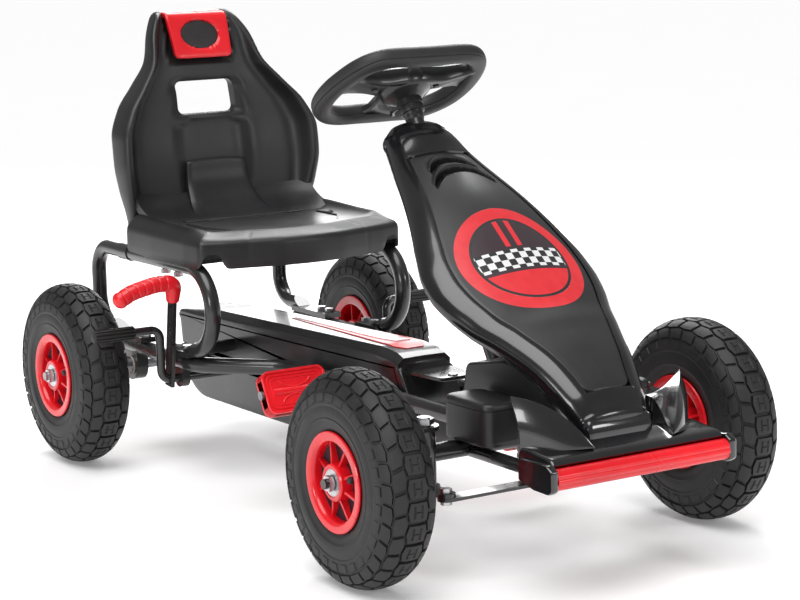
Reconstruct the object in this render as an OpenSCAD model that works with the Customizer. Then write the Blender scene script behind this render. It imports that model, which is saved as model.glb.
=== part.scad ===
// Pedal go kart for a child: tube frame, chain drive, four pneumatic wheels.
// +X is forward, +Y is the driver's left, +Z is up; the tyres stand on z = 0.

/* [Overall] */
// Distance between the front and rear axles
wheelbase = 790; // [785:1:800]
// Distance between the middles of the left and right tyres
track = 507; // [505:1:512]
// How far the bumper bar reaches ahead of the front axle
bumper_reach = 216; // [212:1:220]

/* [Wheels] */
// Outside diameter of a tyre
tyre_d = 260; // [256:1:262]
// Width of a tyre
tyre_w = 75; // [70:1:76]
// Diameter of the rim's outer flange
rim_d = 120; // [116:1:124]
// Number of ribs between hub and rim
rim_ribs = 8; // [5:1:12]

/* [Frame] */
// Diameter of the frame tubes
tube_d = 22; // [20:0.5:22]
// Height of the rails' centre lines
rail_z = 158; // [157:1:159]
// Sideways distance from the middle to a seat hoop
hoop_y = 155; // [153:1:156]
// Height of the top run of the seat hoops
hoop_top_z = 296; // [294:1:297]

/* [Drive] */
// Teeth on the chainring at the pedals
ring_teeth = 27; // [25:1:27]
// Teeth on the rear axle's sprocket
sprocket_teeth = 18; // [16:1:18]
// Chain pitch
chain_pitch = 12.7; // [12.7]
// Crank throw, from the crank's axis to the pedal's spindle
crank_throw = 76; // [70:1:78]
// Angle of the right crank arm from straight ahead, turning up and back
crank_angle = 157; // [150:1:160]

/* [Steering] */
// Backward tilt of the steering column from upright
column_tilt = 31; // [30:0.5:32]
// Length of the steering arms
steer_arm = 45; // [44:0.5:46]
// Distance up the column to the middle of the steering wheel
column_len = 536; // [530:1:540]
// Radius of the steering wheel rim's tube
grip_r = 13; // [11:0.5:14]

/* [Seat] */
// Height of the top of the backrest
seat_top_z = 639; // [630:1:640]
// Half of the seat pan's width
pan_half_w = 165; // [160:1:166]

/* [Bodywork] */
// Length of the hood along its slope
hood_len = 505; // [495:1:510]
// Slope of the hood from level
hood_slope = 36; // [36]
// Thickness of the moulded covers
skin = 3; // [2:0.5:4]

/* [Hidden] */
$fn = 48;

// Axle positions: the box around the kart is centred on the origin.
tyre_r = tyre_d / 2;
wheel_y = track / 2;
front_x = (wheelbase + tyre_r - bumper_reach) / 2;
rear_x = front_x - wheelbase;
axle_z = tyre_r;
half_width = 301;
tube_r = tube_d / 2;

// Wheel hub
stub_r = 6;
hub_r = 23;
hub_half = 36;
bearing_r = 16;
bearing_w = 10;
flange_half = 36;
barrel_r = rim_d / 2 - 9;
running = 0.05;

// Frame
beam_z = 145;
kingpin_y = 162;
kingpin_r = 8;
sleeve_r = 14;
arm_y = 100;
rail_front_y = 50;
rail_mid_y = 60;
rail_knee_x = front_x - 495;
rail_wide_x = front_x - 600;
rail_end_x = front_x - 850;
crossbar_x = front_x - 700;
tab_t = 8;

// Seat hoops, in the upright plane y = hoop_y
hoop_low_z = rail_z + 2 * tube_r;
hoop_front_r = (hoop_top_z - hoop_low_z) / 2;
hoop_arc_x = front_x - 598;
hoop_back_x = front_x - 905;
front_bolts = [front_x - 645, front_x - 621];
rear_bolts = [front_x - 775, front_x - 752];
seat_bolts = [front_x - 679, front_x - 640];
bolt_r = 4;

// Drive
crank_x = front_x - 280;
crank_z = 130;
crank_arm_y = 76;
spindle_r = 6;
ring_pitch_r = chain_pitch / (2 * sin(180 / ring_teeth));
sprocket_pitch_r = chain_pitch / (2 * sin(180 / sprocket_teeth));
tooth_h = 2.5;
chain_h = 6;
pedal_y = 138;
pedal_w = 94;
pedal_l = 58;
pedal_t = 20;
pedal_tilt = 62;
axle_r = 8;
guard_half_w = 42;
guard_front_r = 68;
guard_rear_r = 72;

// Brake
brake_x = front_x - 640;
brake_z = 134;
brake_bar_z = 207;
brake_arm_y = 188;
brake_rod_r = 6;
lever_y = -175;

// Steering
col_base = [front_x - steer_arm / 6, 0, 100];
col_dir = [-sin(column_tilt), 0, cos(column_tilt)];
col_out = [cos(column_tilt), 0, sin(column_tilt)];
shaft_r = 11;
collar_r = 17;
hub_disc_r = 26;
bush_len = 26;
eye_len = 24;
low_eye = 61;
high_eye = 345;
tie_z = 98;
tie_t = 4;

// Hood: o is the top end of its ridge, t runs down the slope and n stands off it
hood_o = [front_x - 255, 0, 501];
hood_t = [cos(hood_slope), 0, -sin(hood_slope)];
hood_n = [sin(hood_slope), 0, cos(hood_slope)];

function unit(v) = v / norm(v);
function col(s, out = 0) = col_base + s * col_dir + out * col_out;

// Children moved to a frame with origin o, X axis u and Y axis v
module place(o, u, v) {
    w = cross(u, v);
    multmatrix([
        [u.x, v.x, w.x, o.x],
        [u.y, v.y, w.y, o.y],
        [u.z, v.z, w.z, o.z],
        [0, 0, 0, 1]
    ]) children();
}

// Round bar from p to q
module rod(p, q, r) {
    w = unit(q - p);
    u = unit(cross(abs(w.z) > 0.9 ? [0, 1, 0] : [0, 0, 1], w));
    place(p, u, cross(w, u)) cylinder(h = norm(q - p), r = r);
}

// Round bar along Y at x and z, from y0 to y1
module cross_rod(x, z, y0, y1, r) {
    rod([x, y0, z], [x, y1, z], r);
}

// Bar of radius r along the corner points p, bent with radius bend or one radius for each point;
// a thin ring covers each seam
module bent_tube(p, bend, r) {
    n = len(p);
    bends = [for (i = [0:n - 1]) is_list(bend) ? bend[i] : bend];
    dirs = [for (i = [0:n - 2]) unit(p[i + 1] - p[i])];
    turn = [for (i = [0:n - 1]) i == 0 || i == n - 1 ? 0 : acos(dirs[i - 1] * dirs[i])];
    cut = [for (i = [0:n - 1]) bends[i] * tan(turn[i] / 2)];
    for (i = [0:n - 2])
        rod(p[i] + cut[i] * dirs[i], p[i + 1] - cut[i + 1] * dirs[i], r);
    for (i = [1:n - 2])
        let (
            inward = unit(dirs[i] - dirs[i - 1]),
            centre = p[i] + inward * bends[i] / cos(turn[i] / 2),
            first = p[i] - cut[i] * dirs[i - 1]
        )
            place(centre, unit(first - centre), dirs[i - 1]) {
                rotate_extrude(angle = turn[i])
                    translate([bends[i], 0]) circle(r);
                seam_ring(bends[i], r);
                rotate(turn[i]) seam_ring(bends[i], r);
            }
}

module seam_ring(bend, r) {
    translate([bend, 0.7, 0]) rotate([90, 0, 0]) cylinder(h = 1.4, r = r + 0.06);
}

// Shell between two grids of points, each a list of equally long rows
module grid_shell(outer, inner) {
    rows = len(outer);
    cols = len(outer[0]);
    n = rows * cols;
    points = concat([for (row = outer) each row], [for (row = inner) each row]);
    function at(i, j, k) = k * n + i * cols + j;
    skin_faces = [
        for (i = [0:rows - 2], j = [0:cols - 2], k = [0, 1])
            let (a = at(i, j, k), b = at(i, j + 1, k), c = at(i + 1, j + 1, k), d = at(i + 1, j, k))
                each k == 0 ? [[a, b, c], [a, c, d]] : [[a, c, b], [a, d, c]]
    ];
    end_faces = [
        for (j = [0:cols - 2], i = [0, rows - 1])
            let (a = at(i, j, 0), b = at(i, j + 1, 0), c = at(i, j + 1, 1), d = at(i, j, 1))
                each i == 0 ? [[a, c, b], [a, d, c]] : [[a, b, c], [a, c, d]]
    ];
    side_faces = [
        for (i = [0:rows - 2], j = [0, cols - 1])
            let (a = at(i, j, 0), b = at(i + 1, j, 0), c = at(i + 1, j, 1), d = at(i, j, 1))
                each j == 0 ? [[a, b, c], [a, c, d]] : [[a, c, b], [a, d, c]]
    ];
    polyhedron(points, concat(skin_faces, end_faces, side_faces));
}

// Plate of thickness t in the upright plane, from y towards +Y
module side_plate(y, t) {
    translate([0, y + t, 0]) rotate([90, 0, 0]) linear_extrude(t) children();
}

// ---- Frame ----

function rail_path(side) = [
    [front_x, side * rail_front_y, rail_z],
    [rail_knee_x, side * rail_mid_y, rail_z],
    [rail_wide_x, side * hoop_y, rail_z],
    [rail_end_x, side * hoop_y, rail_z]
];

module bolt_holes(side) {
    for (x = concat(front_bolts, rear_bolts))
        translate([x, side * hoop_y, rail_z - 9]) cylinder(h = 40, r = bolt_r + 0.1);
}

module rail(side) {
    difference() {
        bent_tube(rail_path(side), 60, tube_r);
        cross_rod(front_x, beam_z, -60 + side * rail_front_y, 60 + side * rail_front_y, tube_r + 0.1);
        bolt_holes(side);
    }
}

module rail_left() { color("#1c1c1e") rail(1); }
module rail_right() { color("#1c1c1e") rail(-1); }

module rear_crossbar() {
    color("#1c1c1e")
        difference() {
            cross_rod(crossbar_x, rail_z, -hoop_y, hoop_y, 9);
            for (side = [-1, 1])
                rod([rail_end_x, side * hoop_y, rail_z], [rail_wide_x, side * hoop_y, rail_z], tube_r + 0.1);
        }
}

// Cross tube with the kingpin sleeves and the two arms that carry the bumper
module front_beam() {
    color("#1c1c1e")
        difference() {
            union() {
                cross_rod(front_x, beam_z, -kingpin_y, kingpin_y, tube_r);
                for (side = [-1, 1]) {
                    translate([front_x, side * kingpin_y, 108]) cylinder(h = 66, r = sleeve_r);
                    bent_tube([
                        [front_x, side * arm_y, beam_z - 3],
                        [front_x + 150, side * arm_y, beam_z - 3],
                        [front_x + 150, side * 20, beam_z - 3]
                    ], 24, 8);
                }
                cross_rod(front_x + 150, beam_z - 3, -22, 22, 8);
            }
            for (side = [-1, 1])
                translate([front_x, side * kingpin_y, 90]) cylinder(h = 100, r = kingpin_r + running);
        }
}

// Corner points of a hoop, from its front end over the top to its rear end
function hoop_path(y) = [
    [hoop_arc_x - 16, y, hoop_low_z], [hoop_arc_x + hoop_front_r, y, hoop_low_z],
    [hoop_arc_x + hoop_front_r, y, hoop_top_z], [hoop_back_x, y, hoop_top_z],
    [hoop_back_x, y, hoop_low_z], [hoop_back_x + 78, y, hoop_low_z]
];
hoop_bends = [0, hoop_front_r, hoop_front_r - 0.1, 40, 40, 0];

// Hoop of tube; its two flattened ends are bolted down on the rail
module seat_hoop(side) {
    y = side * hoop_y;
    low = rail_z + tube_r;
    difference() {
        union() {
            difference() {
                bent_tube(hoop_path(y), hoop_bends, tube_r);
                translate([hoop_arc_x + 8, y, hoop_low_z + tube_r])
                    rotate([0, -30, 0]) translate([-40, -20, 0]) cube([40, 40, 30]);
                translate([hoop_back_x + 54, y, hoop_low_z + tube_r])
                    rotate([0, 30, 0]) translate([0, -20, 0]) cube([40, 40, 30]);
            }
            rod([front_x - 785, y, hoop_top_z], [front_x - 817, y, hoop_top_z], tube_r + 1.5);
            translate([front_bolts[0] - 10, y - 14, low + 0.2])
                cube([hoop_arc_x + 2 - front_bolts[0] + 10, 28, tab_t]);
            translate([hoop_back_x + 60, y - 14, low + 0.2])
                cube([rear_bolts[1] + 10 - hoop_back_x - 60, 28, tab_t]);
        }
        rod([rail_end_x - 60, y, rail_z], [rail_wide_x + 10, y, rail_z], tube_r + 0.1);
        bolt_holes(side);
        for (x = seat_bolts)
            translate([x, y, hoop_top_z - 20]) cylinder(h = 40, r = bolt_r + 0.1);
    }
}

module seat_hoop_left() { color("#1c1c1e") seat_hoop(1); }
module seat_hoop_right() { color("#1c1c1e") seat_hoop(-1); }

// Cap screws that hold the hoops on the rails, and the seat on the hoops
module frame_bolts() {
    color("#c9ccd1")
        for (side = [-1, 1]) {
            for (x = concat(front_bolts, rear_bolts))
                translate([x, side * hoop_y, rail_z - 8]) {
                    cylinder(h = tube_r + 8 + tab_t + 1, r = bolt_r);
                    translate([0, 0, tube_r + 8 + tab_t + 0.3]) cylinder(h = 6, r = 7, $fn = 6);
                }
            for (x = seat_bolts)
                translate([x, side * hoop_y, hoop_top_z - tube_r - 6]) {
                    cylinder(h = 6, r = 7, $fn = 6);
                    cylinder(h = 42, r = bolt_r);
                }
        }
}

// Plate under a rail with an eye for a shaft along Y
module hanger(x, y, z, w, t, eye_r, bore_r) {
    difference() {
        union() {
            translate([x - w / 2, y - t / 2, z]) cube([w, t, rail_z - z]);
            cross_rod(x, z, y - t / 2, y + t / 2, eye_r);
        }
        cross_rod(x, z, y - t, y + t, bore_r);
        children();
    }
}

module rear_bearing_brackets() {
    color("#1c1c1e")
        for (side = [-1, 1])
            hanger(rear_x, side * hoop_y, axle_z, 44, 18, 22, 14)
                rod([rail_end_x - 5, side * hoop_y, rail_z], [rail_wide_x, side * hoop_y, rail_z],
                    tube_r + 0.1);
}

module crank_brackets() {
    color("#1c1c1e")
        for (side = [-1, 1])
            hanger(crank_x, side * 57, crank_z, 34, 8, 17, 10)
                rod(rail_path(side)[0], rail_path(side)[1], tube_r + 0.1);
}

module brake_hangers() {
    color("#1c1c1e")
        for (side = [-1, 1])
            hanger(brake_x, side * hoop_y, brake_z, 26, 12, 13, brake_rod_r + running)
                rod([rail_end_x, side * hoop_y, rail_z], [rail_wide_x + 4, side * hoop_y, rail_z],
                    tube_r + 0.1);
}

// Plain bushes of the rear axle, the crank and the steering column
module nylon_bushes() {
    color("#d8d8d0") {
        for (side = [-1, 1]) {
            difference() {
                cross_rod(rear_x, axle_z, side * hoop_y - 11, side * hoop_y + 11, 13.9);
                cross_rod(rear_x, axle_z, side * hoop_y - 20, side * hoop_y + 20, axle_r + running);
            }
            difference() {
                cross_rod(crank_x, crank_z, side * 57 - 5, side * 57 + 5, 9.9);
                cross_rod(crank_x, crank_z, side * 57 - 9, side * 57 + 9, spindle_r + running);
            }
        }
        for (s = [low_eye - 1, high_eye - 1])
            difference() {
                rod(col(s), col(s + bush_len), 14.9);
                rod(col(s - 5), col(s + bush_len + 5), shaft_r + running);
            }
    }
}

// Stay tube from the beam, parallel to the column, with an eye at each end
module column_support() {
    beam_off = (front_x - col_base.x) * cos(column_tilt) + (beam_z - col_base.z) * sin(column_tilt);
    color("#1c1c1e")
        difference() {
            union() {
                rod(col(34, beam_off), col(high_eye + 21, beam_off), 8);
                for (s = [low_eye, high_eye])
                    rod(col(s), col(s + eye_len), 20.5);
                for (s = [low_eye, high_eye])
                    place(col(s, 20), col_out, [0, 1, 0])
                        translate([0, -4, 0]) cube([beam_off - 20, 8, eye_len]);
            }
            for (s = [low_eye, high_eye])
                rod(col(s - 5), col(s + eye_len + 7), 15);
            cross_rod(front_x, beam_z, -40, 40, tube_r + 0.1);
        }
}

module kingpins() {
    color("#c9ccd1")
        for (side = [-1, 1])
            translate([front_x, side * kingpin_y, 0]) {
                translate([0, 0, 88]) cylinder(h = 102, r = kingpin_r);
                translate([0, 0, 84]) cylinder(h = 7, r = 12.5, $fn = 6);
                translate([0, 0, 181.5]) cylinder(h = 7, r = 12.5, $fn = 6);
            }
}

// ---- Drive ----

// Side outline of the chain guard, drawn inwards by d
function guard_side(d) = [
    for (a = [180:15:270]) [rear_x + (guard_rear_r - d) * cos(a), axle_z + (guard_rear_r - d) * sin(a)],
    for (a = [270:15:390]) [crank_x + (guard_front_r - d) * cos(a), crank_z + (guard_front_r - d) * sin(a)],
    [crank_x + 45 - d, 203 - d],
    [crank_x + 18 - d, 213 - d],
    [crank_x - 17, 216 - d],
    [rear_x + 41, 206 - d],
    [rear_x - 76 + d, 199 - d],
    [rear_x - 90 + d, 182 - d / 2]
];

// Solid of the guard's outline, drawn inwards by d
module guard_body(d) {
    intersection() {
        translate([0, 60, 0]) rotate([90, 0, 0]) linear_extrude(120) polygon(guard_side(d));
        translate([rear_x + 41, 0, 206])
            rotate([0, -1.27, 0]) rotate([90, 0, 90]) translate([0, 0, -200])
                linear_extrude(900)
                    polygon([
                        [-guard_half_w + d, -200], [guard_half_w - d, -200], [guard_half_w - d, -12],
                        [guard_half_w - 10 - d, -d], [-guard_half_w + 10 + d, -d],
                        [-guard_half_w + d, -12]
                    ]);
    }
}

module guard_holes() {
    cross_rod(rear_x, axle_z, -60, 60, axle_r + 2);
    cross_rod(crank_x, crank_z, -60, 60, spindle_r + 2);
    cross_rod(brake_x, brake_z, -60, 60, brake_rod_r + 2);
    cross_rod(crossbar_x, rail_z, -60, 60, 10);
}

module guard_shell() {
    difference() {
        guard_body(0);
        guard_body(skin);
        guard_holes();
    }
}

// Cover over the chain, with the flange that is screwed to the frame in front
module chain_guard_upper() {
    color("#141416")
        difference() {
            union() {
                intersection() {
                    guard_shell();
                    translate([rear_x - 150, -60, axle_z + 0.1]) cube([900, 120, 200]);
                }
                translate([crank_x + 48, -30, 188]) cube([65, 60, 4]);
            }
            translate([crank_x + 100, 0, 180]) cylinder(h = 20, r = 5);
        }
}

// Trough under the chain
module chain_guard_lower() {
    color("#141416")
        intersection() {
            guard_shell();
            translate([rear_x - 150, -60, 0]) cube([900, 120, axle_z - 0.1]);
        }
}

// Outline of a loop round both toothed wheels, r0 at the crank and r1 at the axle
module loop_outline(r0, r1) {
    rise = asin((r0 - r1) / (crank_x - rear_x));
    polygon([
        for (i = [0:24])
            let (a = -90 - rise + i * (180 + 2 * rise) / 24)
                [crank_x + r0 * cos(a), crank_z + r0 * sin(a)],
        for (i = [0:24])
            let (a = 90 + rise + i * (180 - 2 * rise) / 24)
                [rear_x + r1 * cos(a), axle_z + r1 * sin(a)]
    ]);
}

module drive_chain() {
    inner = tooth_h + 0.6;
    color("#7d7f83")
        side_plate(-4, 8)
            difference() {
                loop_outline(ring_pitch_r + inner + chain_h, sprocket_pitch_r + inner + chain_h);
                loop_outline(ring_pitch_r + inner, sprocket_pitch_r + inner);
            }
}

// Toothed wheel for the chain, about its own axis
module toothed_plate(teeth, pitch_r, bore) {
    root = pitch_r - 4;
    difference() {
        linear_extrude(4, center = true) {
            circle(root);
            for (i = [0:teeth - 1])
                rotate(i * 360 / teeth)
                    polygon([
                        [root - 1, -3.6], [root + 1, -3.4], [pitch_r + tooth_h, -1.2],
                        [pitch_r + tooth_h, 1.2], [root + 1, 3.4], [root - 1, 3.6]
                    ]);
        }
        cylinder(h = 20, r = bore, center = true);
    }
}

module rear_sprocket() {
    color("#9a9ca0")
        translate([rear_x, 0, axle_z]) rotate([90, 0, 0])
            difference() {
                union() {
                    toothed_plate(sprocket_teeth, sprocket_pitch_r, axle_r + 1);
                    cylinder(h = 26, r = 15, center = true);
                }
                cylinder(h = 40, r = axle_r + running, center = true);
            }
}

module chainring() {
    color("#9a9ca0")
        translate([crank_x, 0, crank_z]) rotate([90, 0, 0])
            difference() {
                union() {
                    toothed_plate(ring_teeth, ring_pitch_r, spindle_r + 1);
                    cylinder(h = 22, r = 14, center = true);
                }
                cylinder(h = 40, r = spindle_r + running, center = true);
                for (i = [0:4])
                    rotate(i * 72) translate([32, 0, 0]) cylinder(h = 20, r = 9, center = true);
            }
}

module rear_axle() {
    color("#8f9296") {
        cross_rod(rear_x, axle_z, -wheel_y + hub_half + 1, wheel_y - hub_half - 1, axle_r);
        cross_rod(rear_x, axle_z, -half_width, half_width, stub_r);
        for (side = [-1, 1])
            cross_rod(rear_x, axle_z, side * (hoop_y + 12), side * (hoop_y + 20), 13);
    }
}

// Position of a pedal's spindle in the crank's plane
function spindle(side) = [
    crank_x - side * crank_throw * cos(crank_angle),
    side * pedal_y,
    crank_z - side * crank_throw * sin(crank_angle)
];

// One bar bent to a double crank
module crank() {
    l = spindle(1);
    r = spindle(-1);
    color("#8f9296")
        bent_tube([
            [l.x, pedal_y + pedal_w / 2 + 4, l.z],
            [l.x, crank_arm_y, l.z],
            [crank_x, crank_arm_y, crank_z],
            [crank_x, -crank_arm_y, crank_z],
            [r.x, -crank_arm_y, r.z],
            [r.x, -pedal_y - pedal_w / 2 - 4, r.z]
        ], 12, spindle_r);
}

module pedal(side) {
    corner = 9;
    difference() {
        translate(spindle(side)) rotate([0, pedal_tilt, 0]) {
            cube([pedal_l, pedal_w - 2 * corner, pedal_t], center = true);
            cube([pedal_l - 2 * corner, pedal_w, pedal_t], center = true);
            for (x = [-1, 1], y = [-1, 1])
                translate([x * (pedal_l / 2 - corner), y * (pedal_w / 2 - corner), 0])
                    cylinder(h = pedal_t, r = corner, center = true);
        }
        cross_rod(spindle(side).x, spindle(side).z, side * 70, side * 200, spindle_r + running);
    }
}

module pedal_left() { color("#e01b22") pedal(1); }
module pedal_right() { color("#e01b22") pedal(-1); }

// ---- Wheels ----

// Half width of the tyre at radius r
function tyre_half(r) =
    let (widest = tyre_r - 35, half = tyre_w / 2)
        r < widest
            ? half - 4.5 * pow((widest - r) / 33, 2)
            : half * pow(max(0, 1 - pow((r - widest) / 35, 2.2)), 1 / 2.2);

// Cross section of the tyre, in the plane of radius and width
function tyre_section() =
    let (
        bead = barrel_r + 1.2,
        side = [for (i = [0:8]) bead + 8 + i * (tyre_r - 42 - bead) / 8],
        crown = [for (a = [90:-10:0]) tyre_r - 35 + 35 * cos(a)],
        outer = concat([for (r = side) [r, tyre_half(r)]], [for (r = crown) [r, tyre_half(r)]]),
        inner = [for (p = outer) [p.x - (p.x > tyre_r - 20 ? 9 : 0), max(0, p.y - 7)]]
    )
        concat(
            [[bead, 22], [bead, 30]], outer,
            [for (i = [len(outer) - 2:-1:0]) [outer[i].x, -outer[i].y]],
            [[bead, -30], [bead, -22]],
            [for (i = [1:len(inner) - 2]) [inner[i].x, -inner[i].y]],
            [[tyre_r - 9, 0]],
            [for (i = [len(inner) - 2:-1:1]) inner[i]]
        );

module tyre(x, side) {
    translate([x, side * wheel_y, axle_z]) rotate([90, 0, 0])
        rotate_extrude($fn = 96) polygon(tyre_section());
}

module rim(x, side, bore_r) {
    web = 5;
    translate([x, side * wheel_y, axle_z]) rotate([90, 0, 0])
        difference() {
            union() {
                rotate_extrude($fn = 96)
                    polygon([
                        [barrel_r - 4, -flange_half], [rim_d / 2, -flange_half],
                        [rim_d / 2, -flange_half + 3], [barrel_r, -flange_half + 5],
                        [barrel_r, flange_half - 5], [rim_d / 2, flange_half - 3],
                        [rim_d / 2, flange_half], [barrel_r - 4, flange_half]
                    ]);
                cylinder(h = web, r = barrel_r - 2, center = true);
                cylinder(h = 2 * hub_half, r = hub_r, center = true);
                for (i = [0:rim_ribs - 1])
                    rotate(i * 360 / rim_ribs)
                        translate([hub_r - 3, -2.5, -hub_half + 14])
                            cube([barrel_r - hub_r, 5, 2 * hub_half - 28]);
            }
            cylinder(h = 100, r = bore_r, center = true);
            if (bore_r > stub_r + 1)
                for (z = [-1, 1])
                    translate([0, 0, z * hub_half]) cylinder(h = 2 * bearing_w, r = bearing_r, center = true);
        }
}

module wheel_bearings(x, side) {
    for (z = [-1, 1])
        difference() {
            cross_rod(x, axle_z, side * wheel_y + z * (hub_half - bearing_w / 2) - bearing_w / 2,
                side * wheel_y + z * (hub_half - bearing_w / 2) + bearing_w / 2, bearing_r - 0.1);
            cross_rod(x, axle_z, side * wheel_y - 60, side * wheel_y + 60, stub_r + running);
        }
}

module nut(x, side) {
    difference() {
        translate([x, side * (wheel_y + hub_half + 4), axle_z]) rotate([90, 0, 0])
            cylinder(h = 6, r = 10, center = true, $fn = 6);
        cross_rod(x, axle_z, side * 270, side * 310, stub_r + 0.1);
    }
}

module tyre_front_left() { color("#1a1a1a") tyre(front_x, 1); }
module tyre_front_right() { color("#1a1a1a") tyre(front_x, -1); }
module tyre_rear_left() { color("#1a1a1a") tyre(rear_x, 1); }
module tyre_rear_right() { color("#1a1a1a") tyre(rear_x, -1); }
module rim_front_left() { color("#d8141c") rim(front_x, 1, stub_r + 3); }
module rim_front_right() { color("#d8141c") rim(front_x, -1, stub_r + 3); }
module rim_rear_left() { color("#d8141c") rim(rear_x, 1, stub_r + running); }
module rim_rear_right() { color("#d8141c") rim(rear_x, -1, stub_r + 3); }
module bearings_front_left() { color("#c9ccd1") wheel_bearings(front_x, 1); }
module bearings_front_right() { color("#c9ccd1") wheel_bearings(front_x, -1); }
module bearings_rear_right() { color("#c9ccd1") wheel_bearings(rear_x, -1); }
module axle_nut_left() { color("#c9ccd1") nut(front_x, 1); }
module axle_nut_right() { color("#c9ccd1") nut(front_x, -1); }
module rear_axle_nuts() {
    color("#c9ccd1") {
        nut(rear_x, 1);
        nut(rear_x, -1);
    }
}

// ---- Steering ----

// Fork round the kingpin sleeve, with the stub axle and the steering arm
module knuckle(side) {
    top = 175;
    bottom = 102.4;
    difference() {
        union() {
            for (z = [top, bottom])
                translate([front_x, side * kingpin_y, z]) {
                    cylinder(h = 5, r = 18);
                    translate([-18, side < 0 ? -22 : 0, 0]) cube([36, 22, 5]);
                }
            translate([front_x - 18, side * (kingpin_y + 19.5) - 2.5, bottom]) cube([36, 5, top + 5 - bottom]);
            cross_rod(front_x, axle_z, side * (kingpin_y + 20), side * half_width, stub_r);
            cross_rod(front_x, axle_z, side * (kingpin_y + 20), side * (wheel_y - hub_half - 1), 10);
            translate([front_x, side * kingpin_y - 11, bottom]) cube([steer_arm, 22, 5]);
            translate([front_x + steer_arm, side * kingpin_y, bottom]) cylinder(h = 5, r = 11);
        }
        translate([front_x, side * kingpin_y, 90]) cylinder(h = 100, r = kingpin_r + running);
        translate([front_x + steer_arm, side * kingpin_y, 90]) cylinder(h = 30, r = bolt_r + running);
    }
}

module knuckle_left() { color("#1c1c1e") knuckle(1); }
module knuckle_right() { color("#1c1c1e") knuckle(-1); }

module tie_rod() {
    color("#1c1c1e")
        difference() {
            union() {
                translate([front_x + steer_arm - 11, -kingpin_y, tie_z]) cube([22, 2 * kingpin_y, tie_t]);
                for (y = [-1, 1])
                    translate([front_x + steer_arm, y * kingpin_y, tie_z]) cylinder(h = tie_t, r = 11);
            }
            translate([front_x + steer_arm, 0, tie_z - 5]) cylinder(h = 20, r = 7.2);
            for (y = [-1, 1])
                translate([front_x + steer_arm, y * kingpin_y, tie_z - 5]) cylinder(h = 20, r = bolt_r + 0.1);
        }
}

module tie_rod_bolts() {
    color("#c9ccd1")
        for (y = [-1, 1])
            translate([front_x + steer_arm, y * kingpin_y, 0]) {
                translate([0, 0, tie_z - 5]) cylinder(h = 4.9, r = 7, $fn = 6);
                translate([0, 0, tie_z - 2]) cylinder(h = 15, r = bolt_r);
                translate([0, 0, 107.8]) cylinder(h = 5, r = 7, $fn = 6);
            }
}

// Column shaft with the arm and ball that drive the tie rod
module steering_shaft() {
    ball = [front_x + steer_arm, 0, tie_z + tie_t / 2];
    color("#1c1c1e") {
        rod(col(16), col(column_len - 14), shaft_r);
        translate([front_x - 30, -8, 112]) cube([30 + steer_arm + 8, 16, 6]);
        rod(ball, ball + [0, 0, 14], 4);
        translate(ball) sphere(6);
    }
}

module steering_collar() {
    color("#202022")
        difference() {
            rod(col(column_len - 46), col(column_len - 15), collar_r);
            rod(col(column_len - 70), col(column_len), shaft_r + 0.1);
        }
}

// Distance of the rim's centre line from the column at angle a, 0 at the side, 90 in front
rim_shape = [
    [-90, 84], [-75, 87], [-60, 98], [-45, 108], [-30, 110], [-15, 106], [0, 102],
    [15, 100], [30, 100], [45, 95], [60, 81], [75, 71], [90, 68]
];
function rim_reach(a) =
    let (b = asin(sin(a))) lookup(b, rim_shape);

// Ring that follows rim_shape
module steering_rim() {
    steps = 60;
    sides = 14;
    function spine(i) =
        let (a = i * 360 / steps) rim_reach(a) * [cos(a), sin(a)];
    points = [
        for (i = [0:steps - 1])
            let (
                p = spine(i),
                d = unit(spine((i + 1) % steps) - spine((i + steps - 1) % steps)),
                out = [d.y, -d.x]
            )
                for (j = [0:sides - 1])
                    let (b = j * 360 / sides)
                        [p.x + grip_r * cos(b) * out.x, p.y + grip_r * cos(b) * out.y, grip_r * sin(b)]
    ];
    faces = [
        for (i = [0:steps - 1], j = [0:sides - 1])
            let (
                a = i * sides + j,
                b = i * sides + (j + 1) % sides,
                c = ((i + 1) % steps) * sides + (j + 1) % sides,
                d = ((i + 1) % steps) * sides + j
            )
                each [[a, c, b], [a, d, c]]
    ];
    color("#161617")
        place(col(column_len), [0, -1, 0], col_out) mirror([1, 0, 0]) polyhedron(points, faces);
}

// Hub with two side spokes and one towards the driver
module steering_spokes() {
    color("#1b1b1c")
        difference() {
            union() {
                rod(col(column_len - 14.8), col(column_len + 8), hub_disc_r);
                for (a = [8, 172, 270])
                    place(col(column_len), [0, 1, 0], col_out)
                        rotate(a) translate([0, -13, -7]) cube([rim_reach(a) - grip_r - 2.5, 26, 12]);
            }
            rod(col(column_len - 30), col(column_len - 13.9), shaft_r + 0.1);
        }
}

// ---- Seat ----

// Front face of the backrest: [height, x at the middle, half width, x at the edges]
back_shape = [
    [seat_top_z, -868, 60, -862], [606, -852, 84, -842], [567, -843, 98, -822],
    [536, -837, 124, -806], [500, -828, 152, -790], [460, -818, 165, -780],
    [424, -812, 164, -780], [385, -806, 156, -784], [350, -800, 146, -788], [318, -796, 142, -788]
];

function back_point(row, v, deep) = [
    front_x + row[1] + (row[3] - row[1]) * v * v - deep,
    row[2] * v,
    row[0]
];

module backrest() {
    steps = [-1:0.2:1];
    grid_shell(
        [for (row = back_shape) [for (v = steps) back_point(row, v, 0)]],
        [for (row = back_shape) [for (v = steps) back_point(row, v, 14)]]
    );
}

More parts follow.
